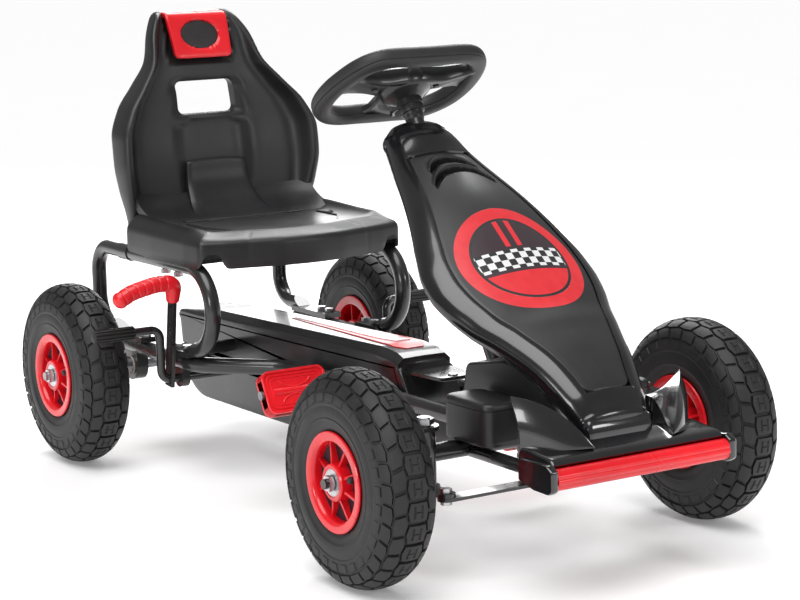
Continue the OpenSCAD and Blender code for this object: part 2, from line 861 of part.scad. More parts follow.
// Top view of the seat pan, drawn inwards by d
function pan_outline(d) = [
    [front_x - 806 + d, -142 + d], [front_x - 786 + d / 2, -pan_half_w + d],
    [front_x - 556 - d / 2, -pan_half_w + d], [front_x - 541 - d, -120 + d / 2],
    [front_x - 536 - d, -96 + d / 2], [front_x - 522 - d, -50], [front_x - 518 - d, 0],
    [front_x - 522 - d, 50], [front_x - 536 - d, 96 - d / 2],
    [front_x - 541 - d, 120 - d / 2], [front_x - 556 - d / 2, pan_half_w - d],
    [front_x - 786 + d / 2, pan_half_w - d], [front_x - 806 + d, 142 - d]
];

module seat_shell() {
    wall = 4;
    color("#18181a")
        difference() {
            union() {
                difference() {
                    translate([0, 0, 303]) linear_extrude(44) polygon(pan_outline(0));
                    translate([0, 0, 295]) linear_extrude(39) polygon(pan_outline(wall));
                    translate([0, 0, 338]) linear_extrude(20) polygon(pan_outline(26));
                }
                backrest();
                for (side = [-1, 1], x = seat_bolts)
                    translate([x, side * hoop_y, hoop_top_z + tube_r - 3]) cylinder(h = 35, r = 9);
            }
            translate([front_x - 900, -44, 489]) cube([100, 88, 47]);
            on_headrest() linear_extrude(30) polygon(headrest_outline(0.8));
            for (side = [-1, 1]) {
                bent_tube(hoop_path(side * hoop_y), hoop_bends, tube_r + 2);
                for (x = seat_bolts)
                    translate([x, side * hoop_y, hoop_top_z]) cylinder(h = 26, r = bolt_r + 0.1);
            }
        }
}

// Outline of the headrest panel, drawn outwards by d
function headrest_outline(d) = [[-47 - d, -35 - d], [47 + d, -35 - d], [50 + d, 35 + d], [-50 - d, 35 + d]];

// Frame of the headrest's front face
module on_headrest() {
    top = [front_x - 867.5, 0, 634];
    low = [front_x - 842.5, 0, 567];
    place((top + low) / 2, [0, 1, 0], unit(top - low)) children();
}

module headrest_panel() {
    color("#e01b22")
        on_headrest() translate([0, 0, 0.6])
            linear_extrude(5) polygon(headrest_outline(0));
}

module headrest_badge() {
    color("#141416")
        on_headrest() translate([0, 0, 5.7])
            for (x = [-1, 1])
                intersection() {
                    translate([0, -20, 0]) cylinder(h = 3, r = 36);
                    translate([0, 20, 0]) cylinder(h = 3, r = 36);
                }
}

// ---- Bodywork ----

// Half width of the hood at distance s down its ridge, and the drop of its shoulders
hood_width = [
    [-10, 44], [40, 54], [100, 70], [160, 88.5], [220, 108], [260, 118], [285, 120], [310, 115],
    [340, 104], [380, 89], [420, 74], [460, 62.5], [485, 56], [510, 47]
];
hood_drop = [[-10, 6], [60, 7], [160, 3], [285, 11], [340, 9], [380, 1], [440, -6], [485, 0], [510, 22]];

// Extra height of the ridge, and the part of the section's skirt that is kept, at distance s
hood_crown = [[40, 0], [100, 11], [180, 18], [260, 20], [330, 16], [400, 8], [470, 0]];
hood_skirt = [[60, 0.42], [330, 0.42], [390, 0.55], [440, 0.75], [470, 0.8]];
skirt_start = 12;

// Cross section of the hood, from one hem to the other: [part of the width, drop below the shoulder]
hood_section = [
    [-0.84, 44], [-0.94, 30], [-1, 12], [-1, 0], [-0.88, -6], [-0.6, -10], [-0.3, -11.5], [0, -12],
    [0.3, -11.5], [0.6, -10], [0.88, -6], [1, 0], [1, 12], [0.94, 30], [0.84, 44]
];

// Drop of one entry c of the cross section at distance s
function hood_fall(s, c) =
    c.y > skirt_start
        ? skirt_start + (c.y - skirt_start) * lookup(s, hood_skirt)
        : c.y - lookup(s, hood_crown) * max(0, 1 - c.x * c.x);

// Point on the hood at distance s, for one entry c of the cross section, drawn inwards by d
function hood_point(s, c, d) =
    let (w = lookup(s, hood_width), side = abs(c.x) > 0.95 ? d : 0, up = abs(c.x) > 0.95 ? d / 2 : d)
        hood_o + s * hood_t + [0, w * c.x - sign(c.x) * side, 0]
        - (lookup(s, hood_drop) + hood_fall(s, c) + (c.y < 20 ? up : 0)) * hood_n;

hood_steps = [for (i = [0:26]) -8 + i * (hood_len + 8) / 26];

module hood_shell() {
    color("#0c0c0e")
        difference() {
            grid_shell(
                [for (s = hood_steps) [for (c = hood_section) hood_point(s, c, 0)]],
                [for (s = hood_steps) [for (c = hood_section)
                    hood_point(s, [c.x * (abs(c.x) > 0.8 ? 0.96 : 1), c.y], skin)]]
            );
            rod(col(380), col(520), shaft_r + 5);
        }
}

// Inlaid panel on the hood's upper face
module hood_panel() {
    steps = [for (i = [0:18]) 40 + i * 435 / 18];
    across = [-0.78, -0.6, -0.3, 0, 0.3, 0.6, 0.78];
    function rise(v) = abs(v) > 0.7 ? -8 : lookup(abs(v), [[0, -12], [0.3, -11.5], [0.6, -10]]);
    color("#2b2c2e")
        grid_shell(
            [for (s = steps) [for (v = across) hood_point(s, [v, rise(v)], -2.2)]],
            [for (s = steps) [for (v = across) hood_point(s, [v, rise(v)], -1)]]
        );
}

// Cover round the foot of the steering column, between the side pods
module hood_base() {
    color("#161618")
        difference() {
            hood_base_body(0);
            hood_base_body(skin);
            rod(col(40), col(200), 16);
            rod(col(40, 29.6), col(200, 29.6), 12);
        }
}

// Solid of the hood base, drawn inwards by d and open below
module hood_base_body(d) {
    floor_z = 186 - 2 * d;
    intersection() {
        side_plate(-80, 160)
            polygon([
                [front_x - 60 + d, floor_z], [front_x - 48 + d, 236 - d], [front_x + 30, 250 - d],
                [front_x + 100 - d, 214 - d], [front_x + 122 - d, floor_z]
            ]);
        translate([0, 0, floor_z - 1]) linear_extrude(80)
            polygon([
                [front_x - 61 + d, -63 + d], [front_x + 20, -63 + d], [front_x + 60, -54 + d],
                [front_x + 123 - d, -38 + d], [front_x + 123 - d, 38 - d], [front_x + 60, 54 - d],
                [front_x + 20, 63 - d], [front_x - 61 + d, 63 - d]
            ]);
    }
}

// Box beside the hood's foot, with rounded upright edges
module side_pod(side) {
    // reach ahead of the front axle and out from the middle, and the lowest and highest edge
    pod_x = [-20, 74];
    pod_y = [66, 124];
    pod_z = [159, 210];
    corner_r = 16;
    module outline(d) {
        hull()
            for (x = [pod_x[0] + corner_r, pod_x[1] - corner_r], y = [pod_y[0] + corner_r, pod_y[1] - corner_r])
                translate([front_x + x, side * y]) circle(corner_r - d, $fn = 32);
    }
    difference() {
        translate([0, 0, pod_z[0]]) linear_extrude(pod_z[1] - pod_z[0]) outline(0);
        translate([0, 0, pod_z[0] - 1]) linear_extrude(pod_z[1] - pod_z[0] + 1 - skin) outline(skin);
    }
}

module side_pod_left() { color("#161618") side_pod(1); }
module side_pod_right() { color("#161618") side_pod(-1); }

// Nose cover over the bumper's arms
module bumper_shell() {
    half = 124;
    color("#0c0c0e")
        difference() {
            union() {
                side_plate(-half, 2 * half)
                    polygon([
                        [front_x + 138, 150], [front_x + 138, 175], [front_x + 196, 170],
                        [front_x + 203, 161], [front_x + 190, 161], [front_x + 190, 136],
                        [front_x + 180, 132]
                    ]);
                side_plate(-50, 100)
                    polygon([
                        [front_x + 154, 170], [front_x + 154, 190], [front_x + 164, 188],
                        [front_x + 184, 170]
                    ]);
            }
            side_plate(-half + 4, 2 * half - 8)
                polygon([
                    [front_x + 130, 120], [front_x + 130, 172], [front_x + 187, 166], [front_x + 187, 120]
                ]);
            side_plate(-46, 92)
                polygon([
                    [front_x + 157, 160], [front_x + 157, 187], [front_x + 162, 185],
                    [front_x + 180, 160]
                ]);
        }
}

// Curved blade standing on the bumper's corner
module bumper_fin(side) {
    tip = [front_x + 126, side * 125, 231];
    difference() {
        hull() {
            translate([front_x + 126, side * 121, 176.6]) cylinder(h = 2, r = 5, $fn = 32);
            translate([front_x + 150, side * 119, 175.2]) cylinder(h = 2, r = 5, $fn = 32);
            translate([front_x + 176, side * 58, 172.8]) cylinder(h = 2, r = 2, $fn = 32);
            translate(tip - [0, 0, 2]) sphere(1.5, $fn = 32);
        }
        translate([front_x + 100, -130, 150])
            rotate([0, 5.1, 0]) cube([200, 260, 25]);
    }
}

module bumper_fin_left() { color("#0c0c0e") bumper_fin(1); }
module bumper_fin_right() { color("#0c0c0e") bumper_fin(-1); }

module bumper_bar() {
    r = 12.5;
    color("#e01b22")
        cross_rod(front_x + bumper_reach - r, 147.5, -123.8, 123.8, r);
}

module bumper_end_caps() {
    color("#101012")
        for (side = [-1, 1])
            translate([0, side * 129, 0])
                side_plate(-4.9, 9.8)
                    polygon([
                        [front_x + 150, 140], [front_x + 150, 163], [front_x + 212, 162],
                        [front_x + 215, 158], [front_x + 215, 137], [front_x + 211, 134]
                    ]);
}

// ---- Brake ----

grip_bend = 16;
// Corner points of the hand grip; it starts at the part t of its first stretch
function grip_path(t = 0) = [
    [brake_x + 18 + 7 * t, lever_y, 250 + 24 * t],
    [brake_x + 25, lever_y, 274],
    [brake_x + 22, -262, 263]
];

// Bar with both brake arms, and the hand lever welded to it
module brake_lever() {
    ends = [
        [brake_x, -288, brake_bar_z], [brake_x, -brake_arm_y, brake_bar_z],
        [brake_x, -brake_arm_y, brake_z], [brake_x, brake_arm_y, brake_z],
        [brake_x, brake_arm_y, brake_bar_z], [brake_x, 288, brake_bar_z]
    ];
    color("#1c1c1e") {
        bent_tube(ends, 14, brake_rod_r);
        side_plate(lever_y - 2.5, 5)
            polygon([
                [brake_x - 11, brake_z - 9], [brake_x + 9, brake_z - 11],
                [brake_x + 27, 249.8], [brake_x + 8, 249.8]
            ]);
        bent_tube(grip_path(), grip_bend, 5);
    }
}

module brake_grip() {
    color("#e01b22")
        difference() {
            union() {
                rod(grip_path()[0], grip_path()[1], 13);
                translate(grip_path()[1]) sphere(14);
                rod(grip_path()[1], grip_path()[2] + [0, -3, -0.4], 13);
            }
            bent_tube(grip_path(-0.3), grip_bend, 5.1);
        }
}

module brake_sleeves() {
    color("#141416")
        for (side = [-1, 1])
            difference() {
                cross_rod(brake_x, brake_bar_z, side * 228, side * 290, 9.5);
                cross_rod(brake_x, brake_bar_z, side * 200, side * 288.2, brake_rod_r + 0.1);
            }
}

rail_left();
rail_right();
rear_crossbar();
front_beam();
seat_hoop_left();
seat_hoop_right();
frame_bolts();
rear_bearing_brackets();
crank_brackets();
brake_hangers();
nylon_bushes();
column_support();
kingpins();
chain_guard_upper();
chain_guard_lower();
drive_chain();
hood_shell();
hood_panel();
hood_base();
side_pod_left();
side_pod_right();
bumper_shell();
bumper_fin_left();
bumper_fin_right();
bumper_bar();
bumper_end_caps();
seat_shell();
headrest_panel();
headrest_badge();
steering_rim();
steering_spokes();
steering_collar();
steering_shaft();
knuckle_left();
knuckle_right();
axle_nut_left();
axle_nut_right();
tie_rod();
tie_rod_bolts();
rear_axle();
rear_sprocket();
rear_axle_nuts();
crank();
chainring();
pedal_left();
pedal_right();
brake_lever();
brake_grip();
brake_sleeves();
tyre_front_left();
tyre_front_right();
tyre_rear_left();
tyre_rear_right();
rim_front_left();
rim_front_right();
rim_rear_left();
rim_rear_right();
bearings_front_left();
bearings_front_right();
bearings_rear_right();
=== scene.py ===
import math

import bmesh
import bpy
import numpy as np
from mathutils import Matrix, Vector


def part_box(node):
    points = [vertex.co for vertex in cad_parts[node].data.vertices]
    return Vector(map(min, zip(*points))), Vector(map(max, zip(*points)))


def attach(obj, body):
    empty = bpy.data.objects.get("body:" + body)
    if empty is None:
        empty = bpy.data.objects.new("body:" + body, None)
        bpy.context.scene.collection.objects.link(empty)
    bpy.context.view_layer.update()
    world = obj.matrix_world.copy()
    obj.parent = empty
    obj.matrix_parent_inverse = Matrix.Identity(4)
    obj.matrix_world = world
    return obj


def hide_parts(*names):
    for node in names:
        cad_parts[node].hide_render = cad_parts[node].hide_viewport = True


# Lengths below are millimetres; a mesh is scaled to metres when it is made.
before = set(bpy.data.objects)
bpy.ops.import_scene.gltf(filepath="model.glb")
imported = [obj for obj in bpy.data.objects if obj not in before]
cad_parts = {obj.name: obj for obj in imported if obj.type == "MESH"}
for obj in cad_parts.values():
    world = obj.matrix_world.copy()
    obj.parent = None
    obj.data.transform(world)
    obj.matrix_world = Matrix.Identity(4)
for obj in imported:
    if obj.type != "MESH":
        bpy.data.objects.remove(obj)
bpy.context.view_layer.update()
MM = 0.001
Z_UP = np.array([0.0, 0.0, 1.0])


# ---- Places that the frame gives ----

def cad_middle(node):
    """Middle of a CAD node's box, in millimetres."""
    low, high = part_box(node)
    return np.array((low + high) / 2) / MM


def cad_box_of(node):
    """Lowest and highest corner of a CAD node, in millimetres."""
    low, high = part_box(node)
    return np.array(low) / MM, np.array(high) / MM


FRONT_X, WHEEL_Y, AXLE_Z = cad_middle("tyre_front_left")
REAR_X = cad_middle("tyre_rear_left")[0]
TYRE_R = np.ptp([corner[2] for corner in cad_box_of("tyre_front_left")]) / 2
COLUMN_TILT = math.radians(31)
COLUMN_UP = np.array([-math.sin(COLUMN_TILT), 0, math.cos(COLUMN_TILT)])
COLUMN_OUT = np.array([math.cos(COLUMN_TILT), 0, math.sin(COLUMN_TILT)])
COLUMN_LENGTH = 536
WHEEL_CENTRE = np.array([FRONT_X - 7.5, 0, 100]) + COLUMN_LENGTH * COLUMN_UP


# ---- Mesh helpers ----

def grid_quads(rows, columns, close_rows=False, close_columns=False):
    """Quads that join a grid of points, kept row by row."""
    i = np.arange(rows if close_rows else rows - 1)
    j = np.arange(columns if close_columns else columns - 1)
    a, b = np.meshgrid(i, j, indexing="ij")
    a2, b2 = (a + 1) % rows, (b + 1) % columns
    quads = [a * columns + b, a * columns + b2, a2 * columns + b2, a2 * columns + b]
    return np.stack(quads, -1).reshape(-1, 4)


def new_mesh(name, points, faces):
    mesh = bpy.data.meshes.new(name)
    mesh.from_pydata((np.asarray(points, float) * MM).tolist(), [], [[int(k) for k in f] for f in faces])
    mesh.update()
    return mesh


def new_object(name, data):
    made = bpy.data.objects.new(name, data)
    bpy.context.scene.collection.objects.link(made)
    return made


def shade(mesh, sharp):
    """Smooth, but for edges over the sharp angle in degrees."""
    mesh.polygons.foreach_set("use_smooth", [True] * len(mesh.polygons))
    mesh.set_sharp_from_angle(angle=math.radians(sharp))


def face_outwards(mesh):
    """Turns all the faces of a closed mesh outwards."""
    work = bmesh.new()
    work.from_mesh(mesh)
    bmesh.ops.recalc_face_normals(work, faces=work.faces)
    work.to_mesh(mesh)
    work.free()


def make_piece(name, points, faces, material, body, slot, replaces=(), sharp=40, closed=True):
    """Object with this mesh, riding on a body. The faces of a closed one are turned outwards."""
    mesh = new_mesh(name, points, faces)
    shade(mesh, sharp)
    mesh.materials.append(material)
    if closed:
        face_outwards(mesh)
        mesh.set_sharp_from_angle(angle=math.radians(sharp))
    piece = new_object(name, mesh)
    claim(piece, body, replaces)
    return piece


def claim(piece, body, replaces=()):
    """Parents a piece to its body's empty and hides the CAD nodes that it stands for."""
    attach(piece, body)
    if replaces:
        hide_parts(*replaces)


def loft(rings):
    """Points and faces through closed rings; the two ends are closed with one face each."""
    rings = np.asarray(rings, float)
    rows, columns = rings.shape[:2]
    faces = [list(f) for f in grid_quads(rows, columns, close_columns=True)]
    faces.append(list(range(columns - 1, -1, -1)))
    faces.append([(rows - 1) * columns + k for k in range(columns)])
    return rings.reshape(-1, 3), faces


def join(parts):
    """One list of points and faces from several."""
    points, faces, start = [], [], 0
    for some_points, some_faces in parts:
        some_points = np.asarray(some_points, float).reshape(-1, 3)
        points.append(some_points)
        faces += [[int(k) + start for k in f] for f in some_faces]
        start += len(some_points)
    return np.concatenate(points), faces


def closed_loft(name, rings, material, body, slot, replaces=(), sharp=40, bevel=0):
    """Piece from closed rings, or from a list of such stacks of rings."""
    stacks = rings if isinstance(rings, list) and np.ndim(rings[0]) == 3 else [rings]
    points, faces = join([loft(stack) for stack in stacks])
    piece = make_piece(name, points, faces, material, body, slot, replaces, sharp)
    if bevel:
        add_bevel(piece, bevel)


def add_bevel(piece, width):
    bevel = piece.modifiers.new("Bevel", "BEVEL")
    bevel.width = width * MM
    bevel.segments = 2
    bevel.limit_method = "ANGLE"
    bevel.angle_limit = math.radians(35)
    bevel.harden_normals = True


def sheet(front, back):
    """Points and faces of a closed thick sheet between two equal grids."""
    rows, columns = front.shape[:2]
    count = rows * columns
    quads = grid_quads(rows, columns)
    rim = (list(range(columns)) + [r * columns + columns - 1 for r in range(1, rows)]
           + [(rows - 1) * columns + k for k in range(columns - 2, -1, -1)]
           + [r * columns for r in range(rows - 2, 0, -1)])
    faces = [list(f) for f in quads] + [list(f[::-1] + count) for f in quads]
    faces += [[rim[k], rim[k - 1], rim[k - 1] + count, rim[k] + count] for k in range(len(rim))]
    return np.concatenate([front.reshape(-1, 3), back.reshape(-1, 3)]), faces


def make_shell(name, front, back, material, slot, replaces=(), sharp=48):
    make_piece(name, *sheet(front, back), material, "frame", slot, replaces, sharp)


def corner_arc(before, corner, after, radius, back_share, ahead_share):
    """Round bend in place of a corner: its centre, the spokes to its two ends, its turn and its cut."""
    back, ahead = before - corner, after - corner
    back_len, ahead_len = np.linalg.norm(back), np.linalg.norm(ahead)
    back, ahead = back / back_len, ahead / ahead_len
    half = math.acos(np.clip(back @ ahead, -1, 1)) / 2
    cut = min(radius / math.tan(half), back_share * back_len, ahead_share * ahead_len)
    centre = corner + (back + ahead) / np.linalg.norm(back + ahead) * cut / math.cos(half)
    return centre, corner + back * cut - centre, corner + ahead * cut - centre, math.pi - 2 * half, cut


def arc_points(centre, first, last, turn, steps):
    return [centre + (math.sin((1 - k / steps) * turn) * first + math.sin(k / steps * turn) * last)
            / math.sin(turn) for k in range(steps + 1)]


def rounded(corners, radius, steps=6):
    """Closed outline with round corners; radius is one number, or one for each corner."""
    corners = [np.array(c, float) for c in corners]
    count = len(corners)
    radii = [radius] * count if np.isscalar(radius) else radius
    outline = []
    for i, corner in enumerate(corners):
        centre, first, last, turn, cut = corner_arc(corners[i - 1], corner, corners[(i + 1) % count],
                                                    radii[i], 0.49, 0.49)
        # a corner that is sharp, or nearly straight, stays one point
        if cut < 0.01 or turn < math.pi - 3.1:
            outline.append(corner)
        else:
            outline += arc_points(centre, first, last, turn, steps)
    return np.array(outline)


def smooth(table, x):
    """Monotone cubic through the rows (x, y) of a table."""
    table = np.asarray(table, float)
    xs, ys = table[:, 0], table[:, 1]
    step = np.diff(xs)
    slope = np.diff(ys) / step
    m = np.zeros(len(xs))
    both = slope[:-1] * slope[1:] > 0
    m[1:-1][both] = (2 * slope[:-1] * slope[1:] / (slope[:-1] + slope[1:] + 1e-12))[both]
    m[0], m[-1] = slope[0], slope[-1]
    x = np.clip(np.asarray(x, float), xs[0], xs[-1])
    k = np.clip(np.searchsorted(xs, x) - 1, 0, len(xs) - 2)
    t = (x - xs[k]) / step[k]
    a, b = 2 * t ** 3 - 3 * t ** 2 + 1, t ** 3 - 2 * t ** 2 + t
    return a * ys[k] + b * step[k] * m[k] + (1 - a) * ys[k + 1] + (t ** 3 - t ** 2) * step[k] * m[k + 1]


def ramp(x, low, high):
    """0 below low, 1 above high and a smooth step between."""
    t = np.clip((np.asarray(x, float) - low) / (high - low), 0, 1)
    return t * t * (3 - 2 * t)


def turns(count):
    """Evenly spaced angles round a full circle."""
    return np.arange(count) * 2 * math.pi / count


def circle(radius, count, squash=1.0):
    """Closed ring of points in its own plane."""
    return np.stack([np.cos(turns(count)) * radius, np.sin(turns(count)) * radius * squash], -1)


def length_along(line):
    """Distance of each point of a line from its first point."""
    return np.concatenate([[0], np.cumsum(np.linalg.norm(np.diff(line, axis=0), axis=1))])


def sweep(path, section, side, scale=None):
    """Rings of a section carried along a path; side is the section's second axis."""
    path = np.asarray(path, float)
    tangent = np.gradient(path, axis=0)
    tangent /= np.linalg.norm(tangent, axis=1)[:, None]
    side = np.broadcast_to(np.asarray(side, float), path.shape)
    across = np.cross(tangent, side)
    across /= np.linalg.norm(across, axis=1)[:, None]
    up = np.cross(across, tangent)
    scale = np.ones(len(path)) if scale is None else np.asarray(scale, float)
    x = section[None, :, 0, None] * scale[:, None, None]
    y = section[None, :, 1, None] * scale[:, None, None]
    return path[:, None, :] + x * across[:, None, :] + y * up[:, None, :]


def bent_path(corners, bend, step=4.0):
    """Points along straight stretches with round bends at the corners."""
    corners = [np.array(c, float) for c in corners]
    bends = [bend] * len(corners) if np.isscalar(bend) else bend
    points = [corners[0]]
    for i in range(1, len(corners) - 1):
        centre, first, last, turn, _ = corner_arc(*corners[i - 1:i + 2], bends[i], 0.499, 0.999)
        count = max(4, int(np.linalg.norm(first) * turn / step))
        points += arc_points(centre, first, last, turn, count)
    points.append(corners[-1])
    return np.array(points)


def lathe(profile):
    """Points and faces round the Y axis, from a closed profile of (radius, distance along Y)."""
    profile, steps = np.asarray(profile, float), 96
    a = turns(steps)
    rings = np.zeros((steps, len(profile), 3))
    rings[:, :, 0] = np.cos(a)[:, None] * profile[None, :, 0]
    rings[:, :, 1] = profile[None, :, 1]
    rings[:, :, 2] = np.sin(a)[:, None] * profile[None, :, 0]
    return rings.reshape(-1, 3), grid_quads(steps, len(profile), close_rows=True, close_columns=True)


def turned(foot, axis, profile, count, side=(0, 1, 0)):
    """Rings round an axis through foot, from rows of (distance along the axis, radius)."""
    path = np.array([foot + axis * d for d, _ in profile])
    return sweep(path, circle(1.0, count), side, scale=[r for _, r in profile])


def between_rows(a, b, c, d, f):
    """Point at share f from b to c on the smooth curve through a, b, c and d."""
    return b + 0.5 * f * (c - a + f * (2 * a - 5 * b + 4 * c - d + f * (3 * (b - c) + d - a)))


def refine(rings, times):
    """The same closed rings with more points on each."""
    count = rings.shape[1]
    t = np.arange(count * times) / times
    k = t.astype(int)
    a, b, c, d = (rings[:, (k + shift) % count] for shift in (-1, 0, 1, 2))
    return between_rows(a, b, c, d, (t - k)[None, :, None])


def refine_rows(rows, times):
    """More rows between the given ones."""
    count = len(rows)
    t = np.linspace(0, count - 1, (count - 1) * times + 1)
    k = np.minimum(t.astype(int), count - 2)
    a, b = rows[np.maximum(k - 1, 0)], rows[k]
    c, d = rows[k + 1], rows[np.minimum(k + 2, count - 1)]
    return between_rows(a, b, c, d, (t - k)[:, None, None])


def resample(outline, count):
    """Closed outline with evenly spaced points."""
    closed = np.concatenate([outline, outline[:1]])
    length = length_along(closed)
    at = np.arange(count) * length[-1] / count
    return np.stack([np.interp(at, length, closed[:, k]) for k in range(closed.shape[1])], -1)


def inset_outline(outline, distance):
    """Outline moved inwards along its normals; distance may differ from point to point."""
    ahead = np.roll(outline, -1, 0) - np.roll(outline, 1, 0)
    ahead /= np.linalg.norm(ahead, axis=1)[:, None]
    inwards = np.stack([-ahead[:, 1], ahead[:, 0]], -1)
    return outline + inwards * np.asarray(distance).reshape(-1, 1)


def block(long, wide, corner, steps):
    """Outline of a rectangle of two half sizes, with round corners."""
    return rounded([(-long, -wide), (long, -wide), (long, wide), (-long, wide)], corner, steps)


def slab(outline, origin, u, v, low, high, edge=0.0):
    """Closed stack of rings: an outline in the plane of u and v, thick from low to high, with a chamfer."""
    outline = np.asarray(outline, float)
    u, v = np.asarray(u, float), np.asarray(v, float)
    w = np.cross(u, v)
    middle = outline.mean(0)
    size = np.abs(outline - middle).max()
    levels = [(low, edge), (low + edge, 0), (high - edge, 0), (high, edge)] if edge else [(low, 0), (high, 0)]
    rings = []
    for height, inset in levels:
        flat = middle + (outline - middle) * (1 - inset / size)
        rings.append(np.asarray(origin) + flat[:, :1] * u + flat[:, 1:] * v + height * w)
    return np.array(rings)


# ---- Materials ----

class Nodes:
    """Short names for building one material's nodes."""

    def __init__(self, name):
        self.material = bpy.data.materials.new(name)
        self.material.use_nodes = True
        self.tree = self.material.node_tree
        self.shader = self.tree.nodes["Principled BSDF"]
        self.place = self.tree.nodes.new("ShaderNodeTexCoord").outputs["Object"]

    def link(self, source, target):
        if isinstance(source, (int, float)):
            target.default_value = source
        else:
            self.tree.links.new(source, target)

    def math(self, operation, *values):
        node = self.tree.nodes.new("ShaderNodeMath")
        node.operation = operation
        for value, socket in zip(values, node.inputs):
            self.link(value, socket)
        return node.outputs[0]

    def noise(self, scale, detail=3, roughness=0.5, stretch=None):
        node = self.tree.nodes.new("ShaderNodeTexNoise")
        node.inputs["Scale"].default_value = scale
        node.inputs["Detail"].default_value = detail
        node.inputs["Roughness"].default_value = roughness
        self.tree.links.new(self.stretched(stretch), node.inputs["Vector"])
        return node.outputs["Fac"]

    def stretched(self, stretch):
        if stretch is None:
            return self.place
        node = self.tree.nodes.new("ShaderNodeMapping")
        node.inputs["Scale"].default_value = stretch
        self.tree.links.new(self.place, node.inputs["Vector"])
        return node.outputs[0]

    def between(self, value, low, high, to_low, to_high):
        node = self.tree.nodes.new("ShaderNodeMapRange")
        for socket, number in zip(node.inputs[1:5], (low, high, to_low, to_high)):
            socket.default_value = number
        self.link(value, node.inputs[0])
        return node.outputs[0]

    def mix(self, factor, first, second):
        node = self.tree.nodes.new("ShaderNodeMix")
        node.data_type = "RGBA"
        self.link(factor, node.inputs["Factor"])
        for value, socket in ((first, node.inputs[6]), (second, node.inputs[7])):
            if isinstance(value, tuple):
                socket.default_value = (*value, 1)
            else:
                self.tree.links.new(value, socket)
        return node.outputs[2]

    def bump(self, height, distance, strength=1.0, under=None):
        node = self.tree.nodes.new("ShaderNodeBump")
        node.inputs["Distance"].default_value = distance * MM
        node.inputs["Strength"].default_value = strength
        self.link(height, node.inputs["Height"])
        if under is not None:
            self.tree.links.new(under, node.inputs["Normal"])
        return node.outputs[0]

    def edges(self, radius):
        """About 1 on worn edges and 0 on flat faces."""
        bevel = self.tree.nodes.new("ShaderNodeBevel")
        bevel.samples = 4
        bevel.inputs["Radius"].default_value = radius * MM
        geometry = self.tree.nodes.new("ShaderNodeNewGeometry")
        dot = self.tree.nodes.new("ShaderNodeVectorMath")
        dot.operation = "DOT_PRODUCT"
        self.tree.links.new(bevel.outputs[0], dot.inputs[0])
        self.tree.links.new(geometry.outputs["Normal"], dot.inputs[1])
        return self.between(dot.outputs["Value"], 0.995, 0.9, 0, 1)


def finish_shader(nodes, **sockets):
    for name, value in sockets.items():
        socket = nodes.shader.inputs[name.replace("_", " ")]
        if isinstance(value, tuple):
            socket.default_value = (*value, 1)
        else:
            nodes.link(value, socket)
    return nodes.material


def moulded(name, colour, roughness, grain=900, depth=0.05, spread=0.12, wear=(0.2, 0.2, 0.2), coat=0.0,
            edge=0.8, wear_amount=0.35, waves=0.0):
    """Moulded or painted surface: fine grain, patches of more and less gloss, and rubbed edges."""
    n = Nodes(name)
    patches = n.noise(9, 4, 0.6)
    fine = n.noise(grain, 2)
    tint = n.mix(n.between(patches, 0.35, 0.7, 0, 1), colour, tuple(min(1, c * 1.35 + 0.002) for c in colour))
    scuffs = n.math("MULTIPLY", n.edges(edge), n.between(n.noise(140, 3), 0.42, 0.68, 0, wear_amount))
    base = n.mix(scuffs, tint, wear)
    rough = n.between(patches, 0.3, 0.7, roughness - spread / 2, roughness + spread / 2)
    rough = n.math("ADD", rough, n.math("MULTIPLY", scuffs, 0.25))
    normal = n.bump(fine, depth)
    if waves:
        normal = n.bump(n.noise(28, 2), waves, 1.0, normal)
    return finish_shader(n, Base_Color=base, Roughness=rough, Normal=normal, Coat_Weight=coat,
                         Coat_Roughness=0.06, Specular_IOR_Level=0.5)


def metal(name, colour, roughness):
    """Plated or bare metal with fine drawn lines and dull spots."""
    n = Nodes(name)
    lines = n.noise(60, 3, 0.6, (6, 6, 300))
    spots = n.noise(35, 5, 0.7)
    base = n.mix(n.between(spots, 0.45, 0.75, 0, 1), colour, tuple(c * 0.55 for c in colour))
    rough = n.between(lines, 0.3, 0.7, roughness - 0.08, roughness + 0.14)
    return finish_shader(n, Base_Color=base, Roughness=rough, Metallic=1.0, Normal=n.bump(lines, 0.03))


def tyre_rubber():
    """Dull rubber with a fine tooth and a little dust in random patches."""
    n = Nodes("tyre_rubber")
    dust = n.noise(22, 5, 0.65)
    base = n.mix(n.between(dust, 0.45, 0.75, 0, 1), (0.010, 0.010, 0.011), (0.021, 0.020, 0.020))
    rough = n.between(dust, 0.3, 0.7, 0.46, 0.62)
    normal = n.bump(n.noise(1100, 3), 0.10, 1.0, n.bump(n.noise(150, 3), 0.25))
    return finish_shader(n, Base_Color=base, Roughness=rough, Normal=normal, Specular_IOR_Level=0.5)


# Roundel of the hood: its middle down the slope, its ring, its disc, and what the disc holds
ROUNDEL_S = 270.0
RING_FROM, RING_TO = 66, 84
DISC_R = 62
CHECK_SIZE = 10
BAND_HALF = 15
SEGMENT_FROM = 20
STRIPE_FROM, STRIPE_TO = 5, 12


